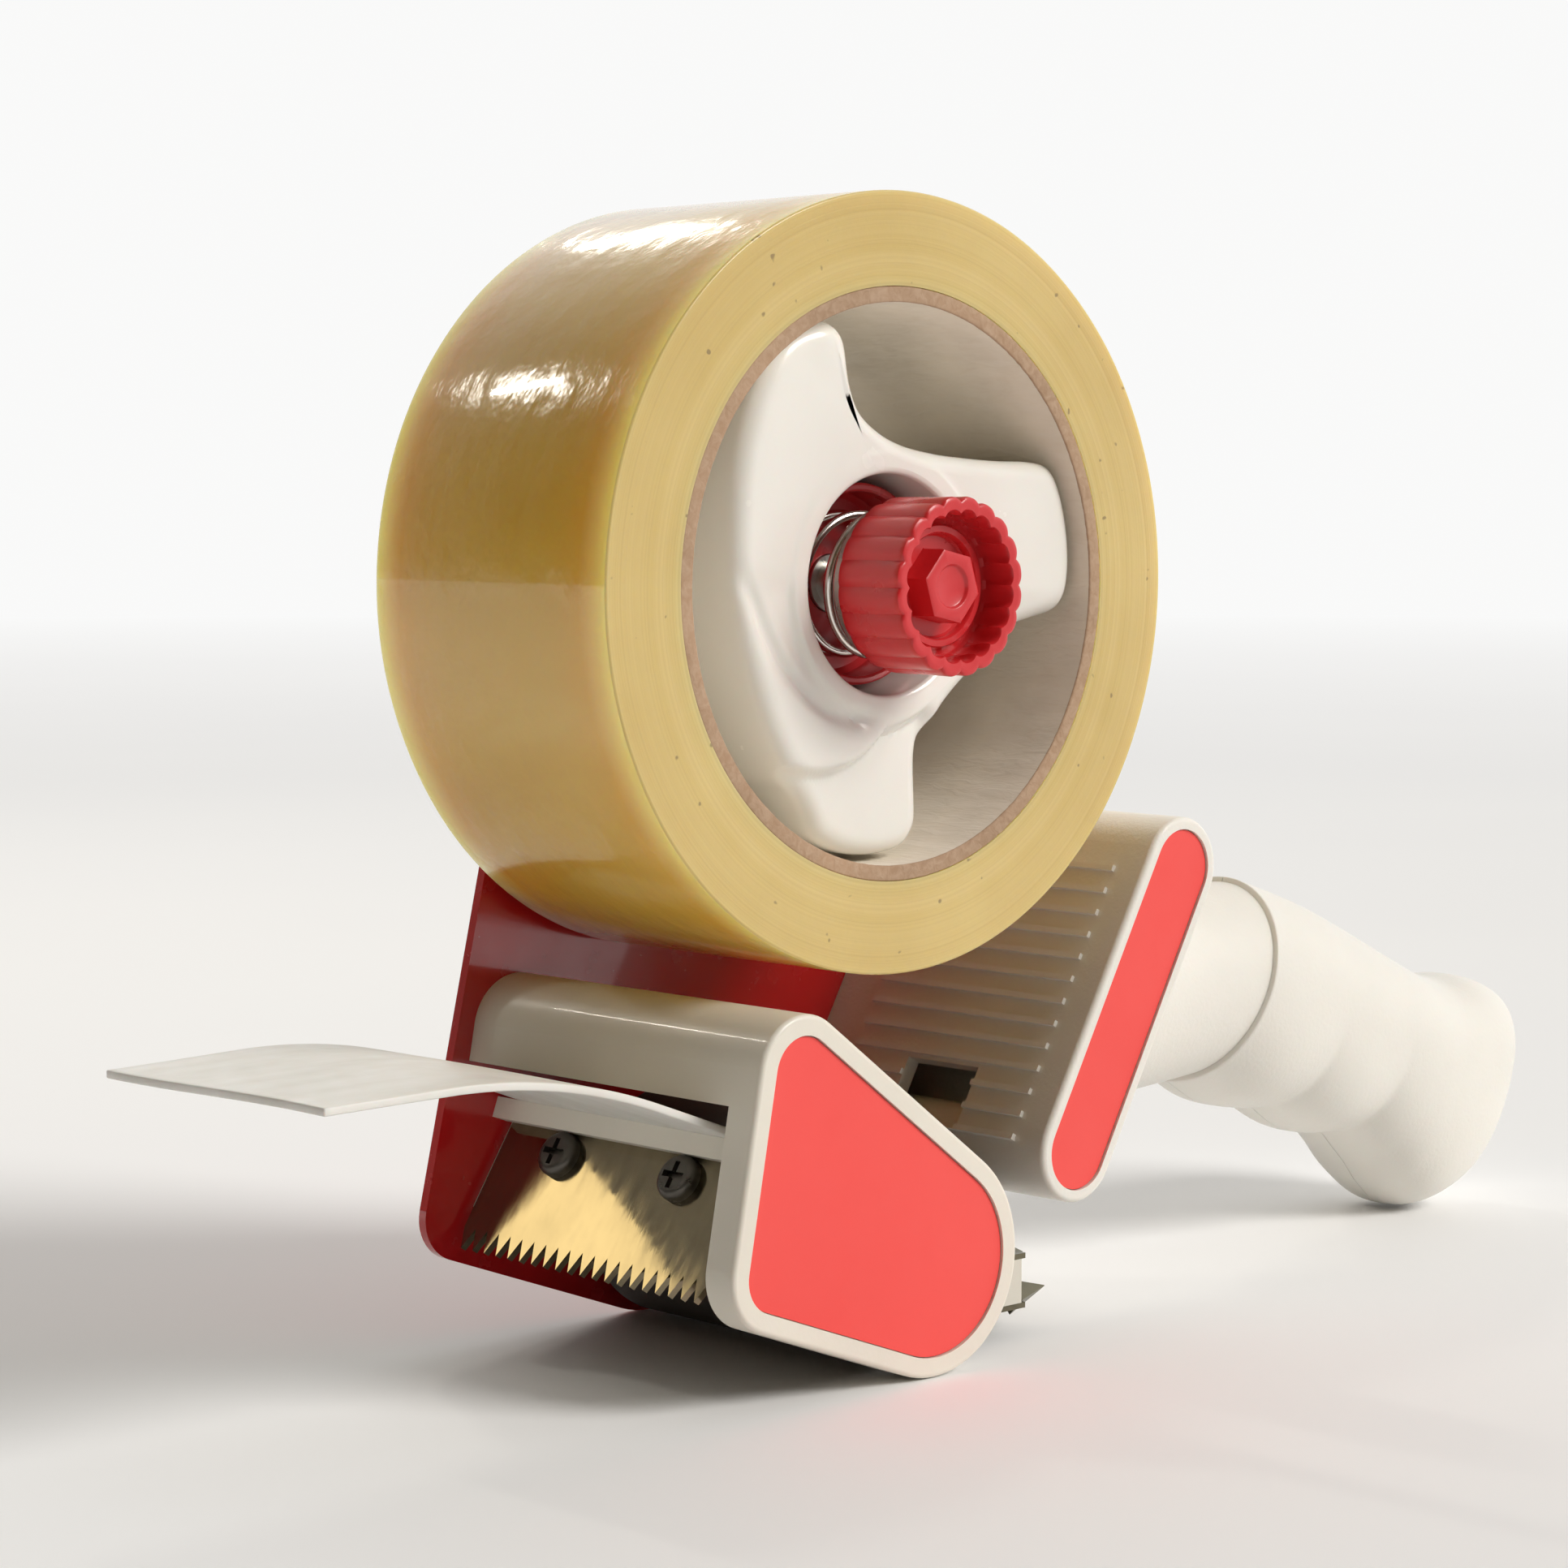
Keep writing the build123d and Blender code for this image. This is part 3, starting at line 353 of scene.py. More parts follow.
nodeFinish = {
    "side_plate": "enamel",
    # the front housing takes the darker copy of the ivory, painted shade on the hood
    "front_housing": "shadedIvory",
    "housing_inlay": "inlay",
    "bracket_inlay": "inlay",
    "handle_bracket": "gripIvory",
    "cutter_blade": "blade",
    "blade_screws": "black",
    "wiper_clamp": "zinc",
    "wiper_rivets": "zinc",
    "roller_tyre": "rubber",
    "roller_core": "nylon",
    "roller_pin": "zinc",
    "roller_clip": "zinc",
    "guide_block": "nylon",
    "tape_guide": "claw",
    "guide_screw": "zinc",
    "housing_screws": "zinc",
    "bracket_screws": "zinc",
    "grip_screws": "black",
    "axle": "zinc",
    "axle_washer": "zinc",
    "axle_nut": "zinc",
    "hub_bush": "nylon",
    "friction_washer": "fibre",
    "pressure_washer": "zinc",
    "knob_nut": "brass",
    "wiper_root": "flap",
    "wiper_tongue": "flap",
    "grip_near": "gripIvory",
    "grip_far": "gripIvory",
    "tape_roll": "film",
    "card_core": "cardInside",
    "hub": "hubIvory",
    "brake_cup": "knobRed",
    "tension_knob": "knobRed",
    "tension_spring": "spring",
}
for nodeName, finish in nodeFinish.items():
    nodes[nodeName].data.materials.clear()
    nodes[nodeName].data.materials.append(finishes[finish])
print("materials given to", len(nodeFinish), "nodes")


# Shared by the new pieces. A piece without a body is left without a parent.
def finishPiece(name, bm, looks, stands, body, sharp, weld=0.001):
    bmesh.ops.remove_doubles(bm, verts=bm.verts, dist=weld)
    bmesh.ops.recalc_face_normals(bm, faces=bm.faces)
    bmesh.ops.transform(bm, matrix=toFrame, verts=bm.verts)
    for face in bm.faces:
        face.smooth = True
    mesh = bpy.data.meshes.new(name)
    bm.to_mesh(mesh)
    bm.free()
    mesh.set_sharp_from_angle(angle=math.radians(sharp))
    for look in looks:
        mesh.materials.append(finishes[look])
    piece = bpy.data.objects.new(name, mesh)
    bpy.context.scene.collection.objects.link(piece)
    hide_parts(*stands)
    if body:
        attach(piece, body)
    return piece


def spinProfile(bm, profile, steps, closed=True):
    # profile points are (radius, y); they are spun once about the axle
    ring = [bm.verts.new((r, y, 0)) for r, y in profile]
    edges = [bm.edges.new(pair) for pair in zip(ring, ring[1:])]
    if closed:
        edges.append(bm.edges.new((ring[-1], ring[0])))
    bmesh.ops.spin(
        bm,
        geom=ring + edges,
        cent=(0, 0, 0),
        axis=axisY,
        angle=math.tau,
        steps=steps,
        use_merge=True,
        use_duplicate=False,
    )


def addWall(piece, thick):
    # half of the thickness goes to each side of the sheet
    wall = piece.modifiers.new("wall", "SOLIDIFY")
    wall.thickness = thick * 0.001
    wall.offset = 0.0
    wall.use_even_offset = False


def roundEdges(piece, width, segments):
    soft = piece.modifiers.new("softEdges", "BEVEL")
    soft.width = width * 0.001
    soft.segments = segments
    soft.limit_method = "ANGLE"
    soft.angle_limit = math.radians(50)


def roundedRing(rIn, rOut, yLow, yHigh, edge, cuts=4):
    # closed section of a ring, with rounded corners
    corners = [(rIn, yLow, 180), (rOut, yLow, 270), (rOut, yHigh, 0), (rIn, yHigh, 90)]
    section = []
    for r, y, start in corners:
        cx = r + edge if r == rIn else r - edge
        cy = y + edge if y == yLow else y - edge
        for i in range(cuts + 1):
            turn = math.radians(start + 90 * i / cuts)
            section.append((cx + edge * math.cos(turn), cy + edge * math.sin(turn)))
    return section


def evenSpacing(dense, count):
    # places at even spacing along a run of points, both ends included
    lengths = [0.0]
    for p, q in zip(dense, dense[1:]):
        lengths.append(lengths[-1] + (q - p).length)
    places = []
    k = 0
    for i in range(count + 1):
        goal = lengths[-1] * i / count
        while k < len(dense) - 2 and lengths[k + 1] < goal:
            k += 1
        share = (goal - lengths[k]) / max(1e-9, lengths[k + 1] - lengths[k])
        places.append(dense[k].lerp(dense[k + 1], min(1.0, share)))
    return places


def smoothStep(x):
    x = max(0.0, min(1.0, x))
    return x * x * (3 - 2 * x)


# Roll of tape: its ends are terraced a little, as wound layers are, and its outside isn't quite round.
roll = {
    "steps": 256,
    "edgeRound": 0.35,
    "terraces": 34,
    "step": 0.07,
    "wobble": 0.10,
    "wobbleDepth": 0.6,
    "endBand": 0.35,
}


def makeTapeRoll():
    high = localBox("tape_roll")[1]
    outer = high.x
    inner = localBox("card_core")[1].x
    half = high.y
    profile = []
    for side in (-1, 1):
        face = []
        for i in range(roll["terraces"] + 1):
            r = inner + (outer - roll["edgeRound"] - inner) * i / roll["terraces"]
            lift = noise.noise(Vector((i * 0.63, side * 5.0, 2.0))) * roll["step"] - roll["step"]
            face.append((r, side * (half + lift)))
        for i in range(4):
            turn = math.radians(90 - 22.5 * (i + 1))
            r = outer - roll["edgeRound"] * (1 - math.cos(turn))
            face.append((r, side * (half - roll["step"] - roll["edgeRound"] * (1 - math.sin(turn)))))
        profile += face if side < 0 else face[::-1]
    bm = bmesh.new()
    spinProfile(bm, profile, roll["steps"])
    for v in bm.verts:
        r = math.hypot(v.co.x, v.co.z)
        if r > outer - roll["wobbleDepth"]:
            angle = math.atan2(v.co.z, v.co.x)
            around = Vector((math.cos(angle) * 3, math.sin(angle) * 3, v.co.y * 0.05))
            pull = 1 - roll["wobble"] * (0.5 + 0.5 * noise.noise(around)) / r
            v.co.x *= pull
            v.co.z *= pull
    bm.normal_update()
    for face in bm.faces:
        face.material_index = 1 if abs(face.calc_center_median().y) > half - roll["endBand"] else 0
    finishPiece("tapeRoll", bm, ["film", "tapeEdge"], ["tape_roll"], "roll", 50)


makeTapeRoll()

# Card core: its ends are frayed by "ragged", within a band of "frayBand".
coreLook = {"steps": 360, "ragged": 0.16, "edge": 0.25, "frayBand": 0.3, "endBand": 0.32}


def makeCardCore():
    high = localBox("card_core")[1]
    inner, outer, half = coreInnerRadius(), high.x, high.y - coreLook["ragged"]
    profile = roundedRing(inner, outer - 0.02, -half, half, coreLook["edge"], 3)
    bm = bmesh.new()
    spinProfile(bm, profile, coreLook["steps"])
    for v in bm.verts:
        if abs(v.co.y) > half - coreLook["frayBand"]:
            r = math.hypot(v.co.x, v.co.z)
            fray = noise.noise(Vector((v.co.x * 0.9, v.co.z * 0.9, v.co.y))) * coreLook["ragged"]
            fine = noise.noise(v.co * 3.1) * coreLook["ragged"] * 0.5
            v.co.y += math.copysign(fray + fine, v.co.y) * 0.8
            if r < inner + 0.5:
                pull = 1 + abs(fine) / r
                v.co.x *= pull
                v.co.z *= pull
    bm.normal_update()
    for face in bm.faces:
        face.material_index = 0 if abs(face.calc_center_median().y) > half - coreLook["endBand"] else 1
    finishPiece("cardCore", bm, ["cardEdge", "cardInside"], ["card_core"], "roll", 40)


def coreInnerRadius():
    # the bore of the CAD core, in millimetres
    found = min(
        math.hypot((v.co.x - origin.x), (v.co.z - origin.z)) for v in nodes["card_core"].data.vertices
    )
    return found * 1000


makeCardCore()
print("roll and core made")


# Hub: one closed skin, up the outside, over the face, down the well and bore, and round the cavity.
hubLook = {
    "frontY": -22.0,
    "backY": 25.0,
    "edge": 2.6,
    "wellRadius": 15.2,
    "wellEdge": 0.7,
    "floorY": -7.0,
    "bore": 6.5,
    "wall": 2.4,
    "faceRows": 26,
    "steps": 360,
    "cavityY": -3.0,
    "middleRadius": 12.2,
    "sideRows": (14.0, 4.0, -6.0, -12.0, -16.0),
    "wellRow": -16.0,
    "floorRound": 1.2,
    "chamfer": 0.4,
}
# tabs behind the core, one on each arm
hubTabs = {
    "angles": (9, 125, 265),
    "size": (7.0, 1.3, 17.0),
    "reach": 37.4,
    "behind": 0.66,
    "round": 0.5,
}
# corners of the hub's front outline, from the top of the first arm clockwise
hubOutline = [
    (-19.4, 32.9), (-14.6, 35.3), (-10.6, 35.6), (-8.0, 33.8), (-7.1, 30.6), (-6.2, 27.2), (-4.6, 23.9),
    (-1.0, 21.2), (4.0, 19.2), (10.6, 18.0), (17.0, 17.4), (24.0, 17.0), (30.0, 16.9), (33.6, 16.2),
    (35.9, 13.0), (37.5, 7.6), (37.9, 2.4), (37.2, -1.8), (35.2, -4.4), (31.6, -5.4), (27.0, -6.6),
    (22.4, -9.0), (17.8, -12.4), (13.6, -15.6), (10.2, -19.0), (8.6, -22.6), (8.4, -26.6), (8.6, -30.4),
    (8.4, -33.8), (6.2, -36.5), (2.2, -37.4), (-2.8, -37.3), (-7.6, -36.2), (-11.2, -34.2), (-13.0, -31.0),
    (-14.8, -28.4), (-17.6, -25.8), (-20.8, -21.0), (-23.8, -14.8), (-26.4, -7.4), (-27.9, 0.4),
    (-28.2, 7.6), (-27.7, 14.6), (-26.0, 21.4), (-23.0, 28.2),
]


def smoothLoop(points, count):
    # closed curve through the points, at even spacing
    dense = []
    total = len(points)
    for i in range(total):
        a, b, c, d = (Vector(points[(i + k) % total]) for k in (-1, 0, 1, 2))
        for j in range(24):
            t = j / 24
            dense.append(
                0.5
                * (
                    2 * b
                    + (c - a) * t
                    + (2 * a - 5 * b + 4 * c - d) * t * t
                    + (3 * b - a - 3 * c + d) * t * t * t
                )
            )
    return evenSpacing(dense + dense[:1], count)[:-1]


def spiral(angle, marks):
    # radius at an angle, between marks of (angle, radius), or None outside them
    for (a0, r0), (a1, r1) in zip(marks, marks[1:]):
        if a0 <= angle <= a1:
            return r0 + (r1 - r0) * (angle - a0) / (a1 - a0)
    return None


def hubRelief(x, z):
    # how far the front face lies behind its highest plane
    r = math.hypot(x, z)
    angle = math.degrees(math.atan2(z, x)) % 360
    depth = 0.0
    shelf = spiral(
        angle,
        [(228, 33.0), (234, 29.6), (245, 27.2), (255, 24.6), (262, 22.4), (270, 19.4), (300, 18.4)],
    )
    if shelf:
        fade = smoothStep((angle - 228) / 8) * (1 - smoothStep((angle - 290) / 10))
        depth += 2.1 * smoothStep((r - shelf + 0.4) / 2.2) * fade
    groove = spiral(
        angle, [(172, 27.6), (185, 24.6), (200, 22.8), (218, 21.2), (238, 20.2), (268, 18.2)]
    )
    if groove:
        fade = smoothStep((angle - 172) / 12) * (1 - smoothStep((angle - 250) / 18))
        depth += 1.1 * math.exp(-(((r - groove) / 1.3) ** 2)) * fade
        depth += 0.5 * smoothStep((groove - r) / 3) * fade * smoothStep((r - 17.2) / 2)
    scoop = spiral(angle, [(330, 24.0), (345, 27.0), (352, 31.0), (360, 34.0)])
    if scoop:
        fade = smoothStep((angle - 330) / 12) * (1 - smoothStep((angle - 347) / 12))
        depth += 1.4 * smoothStep((r - 19.0) / 4) * fade * (1 - smoothStep((r - 34) / 3))
    lip = math.hypot(x + 10.0, z - 32.0)
    depth -= 0.35 * (1 - smoothStep(lip / 6))
    ring = 0.55 * math.exp(-(((r - 17.0) / 1.1) ** 2))
    return max(0.35, 0.6 + depth - ring)


def inwardRow(loop, distance):
    # the outline moved inwards by a distance, and smoothed more the further it moves
    count = len(loop)
    moved = []
    for i in range(count):
        along = (loop[(i + 1) % count] - loop[i - 1]).normalized()
        moved.append(loop[i] + Vector((along.y, -along.x)) * distance)
    for _ in range(round(distance * 4)):
        moved = [(moved[i - 1] + moved[i] * 2 + moved[(i + 1) % count]) / 4 for i in range(count)]
    return moved


def fanOut(loop):
    # a direction from the axle for each point, spread so that no two cross
    count = len(loop)
    angle = math.atan2(loop[0].y, loop[0].x)
    start = angle
    spokes = []
    for i, p in enumerate(loop):
        step = math.atan2(p.y, p.x) - angle
        angle += (step + math.pi) % math.tau - math.pi
        eased = 0.7 * angle + 0.3 * (start - math.tau * i / count)
        spokes.append(Vector((math.cos(eased), math.sin(eased))))
    return spokes


def ringOf(points, height):
    # the height is one value, or worked out at each point
    return [(p.x, height(p) if callable(height) else height, p.y) for p in points]


def makeHub():
    front, edge, well, back = (hubLook[k] for k in ("frontY", "edge", "wellRadius", "backY"))
    loop = smoothLoop(hubOutline, hubLook["steps"])
    spokes = fanOut(loop)
    chamfer, cavity, floorRound = (hubLook[k] for k in ("chamfer", "cavityY", "floorRound"))
    rows = [ringOf(loop, y) for y in (back - chamfer, *hubLook["sideRows"])]
    for i in range(7):
        turn = math.radians(15 * i)
        drop = edge * (1 - math.sin(turn))
        inner = inwardRow(loop, edge * (1 - math.cos(turn)))
        rows.append(ringOf(inner, lambda p: front + hubRelief(p.x, p.y) + drop))
    rim = well + hubLook["wellEdge"]
    inner = inwardRow(loop, edge)
    for i in range(1, hubLook["faceRows"] + 1):
        t = i / hubLook["faceRows"]
        row = [q.lerp(u * rim, t) for u, q in zip(spokes, inner)]
        rows.append(ringOf(row, lambda p: front + hubRelief(p.x, p.y)))
    for i in range(1, 4):
        turn = math.radians(30 * i)
        r = rim - hubLook["wellEdge"] * math.sin(turn)
        drop = hubLook["wellEdge"] * (1 - math.cos(turn))
        rows.append(
            [(u.x * r, front + hubRelief(u.x * rim, u.y * rim) + drop, u.y * r) for u in spokes]
        )
    bore, middle, floor = hubLook["bore"], hubLook["middleRadius"], hubLook["floorY"]
    turned = [
        (well, hubLook["wellRow"]), (well, floor - floorRound), (well - floorRound, floor),
        (bore, floor), (bore, back - chamfer), (bore + chamfer, back),
        (middle - chamfer, back), (middle, back - chamfer), (middle, cavity),
    ]
    for r, y in turned:
        rows.append([(u.x * r, y, u.y * r) for u in spokes])
    inside = inwardRow(loop, hubLook["wall"])
    rows += [ringOf(inside, cavity), ringOf(inside, back - 0.3)]
    rows.append(ringOf(inwardRow(loop, hubLook["wall"] - 0.3), back))
    rows.append(ringOf(inwardRow(loop, chamfer), back))
    bm = bmesh.new()
    rings = [[bm.verts.new(co) for co in row] for row in rows]
    for a, b in zip(rings, rings[1:] + rings[:1]):
        for i in range(len(a)):
            j = (i + 1) % len(a)
            bm.faces.new((a[i], a[j], b[j], b[i]))
    return bm


def makeHubPiece():
    bm = makeHub()
    high = localBox("hub")[1]
    for angle in hubTabs["angles"]:
        tab = bmesh.ops.create_cube(bm, size=1)["verts"]
        bmesh.ops.scale(bm, vec=hubTabs["size"], verts=tab)
        bmesh.ops.translate(bm, vec=(hubTabs["reach"], high.y - hubTabs["behind"], 0), verts=tab)
        turn = Matrix.Rotation(-math.radians(angle), 3, "Y")
        bmesh.ops.rotate(bm, cent=(0, 0, 0), matrix=turn, verts=tab)
        edges = list({e for v in tab for e in v.link_edges})
        bmesh.ops.bevel(
            bm, geom=edges, offset=hubTabs["round"], segments=3, profile=0.5, affect="EDGES", material=-1
        )
    finishPiece("hubBody", bm, ["hubIvory"], ["hub"], "roll", 40, 0.0005)


makeHubPiece()
print("hub made")


# Brake cup
cupLook = {"wall": 1.2, "floor": 1.4, "bore": 4.1, "steps": 128}


def makeBrakeCup():
    low, high = localBox("brake_cup")
    r, wall, floor, bore = high.x, cupLook["wall"], cupLook["floor"], cupLook["bore"]
    profile = [
        (bore, high.y), (r - 1.6, high.y), (r - 0.5, high.y - 0.4), (r, high.y - 1.4),
        (r - 0.1, low.y + 1.2), (r, low.y + 0.7), (r - 0.1, low.y + 0.2), (r - 0.4, low.y),
        (r - wall + 0.3, low.y), (r - wall, low.y + 0.3), (r - wall, high.y - floor - 0.8),
        (r - wall - 0.8, high.y - floor), (bore, high.y - floor),
    ]
    bm = bmesh.new()
    spinProfile(bm, profile, cupLook["steps"])
    finishPiece("brakeCup", bm, ["knobRed"], ["brake_cup"], "frame", 32)


makeBrakeCup()

# Spring: its end turns are wound closer than the middle ones.
springLook = {
    "radius": 9.6,
    "wire": 0.68,
    "turns": 3.6,
    "wireSides": 16,
    "stepsPerTurn": 72,
    "endTurns": 1.0,
    "endRise": 1.42,
}


def makeSpring():
    low, high = localBox("tension_spring")
    wire = springLook["wire"]
    start, stop = high.y - wire, low.y + wire
    bm = bmesh.new()
    sides = springLook["wireSides"]
    ring = bmesh.ops.create_circle(bm, cap_ends=False, segments=sides, radius=wire)["verts"]
    bmesh.ops.translate(bm, vec=(springLook["radius"], start, 0), verts=ring)
    geom = ring + list({e for v in ring for e in v.link_edges})
    endRise, endTurns = springLook["endRise"], springLook["endTurns"]
    middle = (springLook["turns"] - 2 * endTurns, start - stop - 2 * endRise)
    for turns, rise in ((endTurns, endRise), middle, (endTurns, endRise)):
        steps = round(turns * springLook["stepsPerTurn"])
        made = bmesh.ops.spin(
            bm,
            geom=geom,
            cent=(0, 0, 0),
            axis=axisY,
            dvec=(0, -rise / steps, 0),
            angle=math.tau * turns,
            steps=steps,
            use_merge=False,
            use_duplicate=False,
        )
        geom = [g for g in made["geom_last"] if isinstance(g, (bmesh.types.BMVert, bmesh.types.BMEdge))]
    bmesh.ops.holes_fill(bm, edges=[e for e in bm.edges if e.is_boundary], sides=0)
    piece = finishPiece("tensionSpring", bm, ["spring"], ["tension_spring"], None, 50)
    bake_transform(piece)


makeSpring()

# Knob: a turned body, whose flutes and raised hexagon are pressed in afterwards.
knobLook = {
    "flutes": 20,
    "fluteDepth": 0.42,
    "rimDepth": 0.62,
    "steps": 360,
    "wall": 1.95,
    "floor": 6.2,
    "ring": 8.4,
    "hexAcross": 9.2,
    "hexRadius": 5.31,
    "hexTurn": 12,
    "nutRoom": 5.85,
    "nutDepth": 5.1,
    "bore": 3.2,
    "boreEnd": -32.4,
}


def knobProfile(r, front, back, inner):
    # (radius, y) from the bore's end behind, over the rim, to the middle of the hexagon
    ring, hexRadius = knobLook["ring"], knobLook["hexRadius"]
    nutRoom, bore, boreEnd = knobLook["nutRoom"], knobLook["bore"], knobLook["boreEnd"]
    floor, nutEnd = back - knobLook["floor"], back - knobLook["nutDepth"]
    behind = [(0.02, boreEnd), (bore, boreEnd), (bore, nutEnd), (nutRoom, nutEnd), (nutRoom, back)]
    wall = [
        (r - 1.0, back), (r - 0.5, back - 0.15), (r - 0.25, back - 0.5), (r - 0.12, back - 1.4),
        (r - 0.10, back - 3.4), (r - 0.12, back - 5.6), (r - 0.10, back - 7.8), (r - 0.06, front + 2.6),
        (r - 0.02, front + 1.0), (r, front + 0.55), (r - 0.12, front + 0.18), (r - 0.42, front),
        (r - 0.95, front), (inner + 0.2, front + 0.1), (inner, front + 0.4), (inner, front + 1.6),
        (inner - 0.1, front + 3.2), (inner - 0.1, floor - 0.6), (inner - 0.5, floor - 0.1),
    ]
    ringWall = [
        (ring + 0.4, floor - 0.1), (ring, floor - 0.4), (ring, front + 4.5), (ring - 0.25, front + 4.2),
        (ring - 1.05, front + 4.2), (ring - 1.3, front + 4.5), (ring - 1.3, front + 5.3),
        (ring - 1.6, front + 5.6),
    ]
    boss = [
        (5.45, front + 5.6), (hexRadius, front + 5.4), (hexRadius, front + 2.0), (5.22, front + 1.72),
        (4.95, front + 1.6), (3.1, front + 1.6), (2.98, front + 1.66), (2.85, front + 1.95),
        (2.6, front + 2.1), (0.02, front + 2.1),
    ]
    return behind + wall + ringWall + boss


def makeKnob():
    low, high = localBox("tension_knob")
    r, front, back = high.x, low.y, high.y
    inner = r - knobLook["wall"]
    bm = bmesh.new()
    spinProfile(bm, knobProfile(r, front, back, inner), knobLook["steps"], closed=False)
    flutes, rim, body = knobLook["flutes"], knobLook["rimDepth"], knobLook["fluteDepth"]
    apothem = knobLook["hexAcross"] / 2
    for v in bm.verts:
        radius = math.hypot(v.co.x, v.co.z)
        angle = math.atan2(v.co.z, v.co.x)
        dip = (1 - abs(math.sin(angle * flutes / 2))) ** 1.4
        nearRim = smoothStep((front + 3.4 - v.co.y) / 2.6)
        cut = 0.0
        if radius > r - 1.02:
            cut = dip * (body + (rim - body) * nearRim) * smoothStep((back + 0.1 - v.co.y) / 0.5)
        elif radius > inner - 0.2:
            cut = dip * rim * smoothStep((front + 4.4 - v.co.y) / 3.0)
        elif 4.9 < radius < 5.5 and v.co.y < back - 6:
            turn = (angle + math.radians(knobLook["hexTurn"])) % math.radians(60) - math.radians(30)
            cut = radius * (1 - apothem / knobLook["hexRadius"] / math.cos(turn))
        # the two small rings round the axis shrink to points, which closes the knob
        shrink = 0.0 if radius < 0.05 else 1 - cut / radius
        v.co.x *= shrink
        v.co.z *= shrink
    finishPiece("tensionKnob", bm, ["knobRed"], ["tension_knob"], "knob", 40)


makeKnob()
print("cup, spring and knob made")


# Flap: one sheet with its clamped root. Its places are (x, z), and it bends across the hinge.
flapLook = {
    "root": (-14.0, -78.5),
    "hinge": (-29.92, -72.53),
    "knee": (-60.7, -61.0),
    "tip": (-98.0, -61.9),
    "bend": 90.0,
    "half": 23.5,
    "thick": 1.1,
    "rows": 72,
    "across": 24,
    "sag": 0.35,
    "edgeRound": 0.22,
    "bendBefore": 6,
    "bendAfter": 10,
}


def bentPath(points, radius, count):
    # straight runs joined by a curve at each middle point, as evenly spaced places
    dense = []
    points = [Vector(p) for p in points]
    dense.append(points[0])
    for a, b, c in zip(points, points[1:], points[2:]):
        back, ahead = (a - b).normalized(), (c - b).normalized()
        half = back.angle(ahead) / 2
        reach = min(radius / math.tan(half), (a - b).length * 0.98, (c - b).length * 0.98)
        p, q = b + back * reach, b + ahead * reach
        for i in range(25):
            t = i / 24
            dense.append(p.lerp(b, t).lerp(b.lerp(q, t), t))
    dense.append(points[-1])
    return evenSpacing(dense, count)


def makeFlapPiece():
    corners = [flapLook[k] for k in ("root", "hinge", "knee", "tip")]
    path = bentPath(corners, flapLook["bend"], flapLook["rows"])
    half = flapLook["half"]
    bm = bmesh.new()
    bmesh.ops.create_grid(bm, x_segments=flapLook["rows"], y_segments=flapLook["across"], size=0.5)
    length = len(path) - 1
    for v in bm.verts:
        i = min(length, max(0, round((v.co.x + 0.5) * length)))
        y = v.co.y * 2 * half
        out = i / length
        sag = flapLook["sag"] * math.sin(y / half * 1.9 + out * 3) * smoothStep((out - 0.3) / 0.5)
        v.co = Vector((path[i].x, y, path[i].y + sag))
    stands = ["wiper_root", "wiper_tongue"]
    piece = finishPiece("wiperFlap", bm, ["flap"], stands, None, 40)
    addWall(piece, flapLook["thick"])
    roundEdges(piece, flapLook["edgeRound"], 2)
    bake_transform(piece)


makeFlapPiece()
print("flap made")


# Grip: two solid shells that meet at midY. A section is (distance, top, bottom, half width).
gripLook = {
    "collar": (92.5, -65.0),
    "tilt": 23.5,
    "midY": 1.75,
    "seam": 0.06,
    "around": 96,
    "rows": 110,
    "sections": [
        (0.0, 17.4, -17.1, 16.0), (9.1, 18.1, -17.9, 16.2), (21.4, 18.3, -15.9, 15.4),
        (31.9, 18.1, -15.9, 15.2), (40.5, 17.9, -14.3, 14.8), (48.2, 17.9, -15.8, 14.8),
        (54.5, 18.8, -18.4, 14.8), (62.0, 21.6, -19.6, 14.4), (69.8, 22.4, -15.2, 13.0),
        (74.4, 20.6, -9.6, 10.4), (76.8, 16.8, -4.6, 7.0),
    ],
    "squareness": 0.82,
    "creases": (21.5, 40.5),
    "creaseDepth": 1.5,
    "creaseWidth": 3.4,
    "neckLength": 16,
}


def gripSection(u):
    # top, bottom and half width at a distance along the grip
    marks = gripLook["sections"]
    i = 0
    while i < len(marks) - 2 and u > marks[i + 1][0]:
        i += 1
    a, b, c, d = (marks[min(max(i + k, 0), len(marks) - 1)] for k in (-1, 0, 1, 2))
    t = (u - b[0]) / (c[0] - b[0])
    span = c[0] - b[0]
    values = []
    for k in (1, 2, 3):
        m0 = (c[k] - a[k]) / max(1e-6, c[0] - a[0]) * span
        m1 = (d[k] - b[k]) / max(1e-6, d[0] - b[0]) * span
        values.append(
            (2 * t**3 - 3 * t**2 + 1) * b[k]
            + (t**3 - 2 * t**2 + t) * m0
            + (-2 * t**3 + 3 * t**2) * c[k]
            + (t**3 - t**2) * m1
        )
    return values


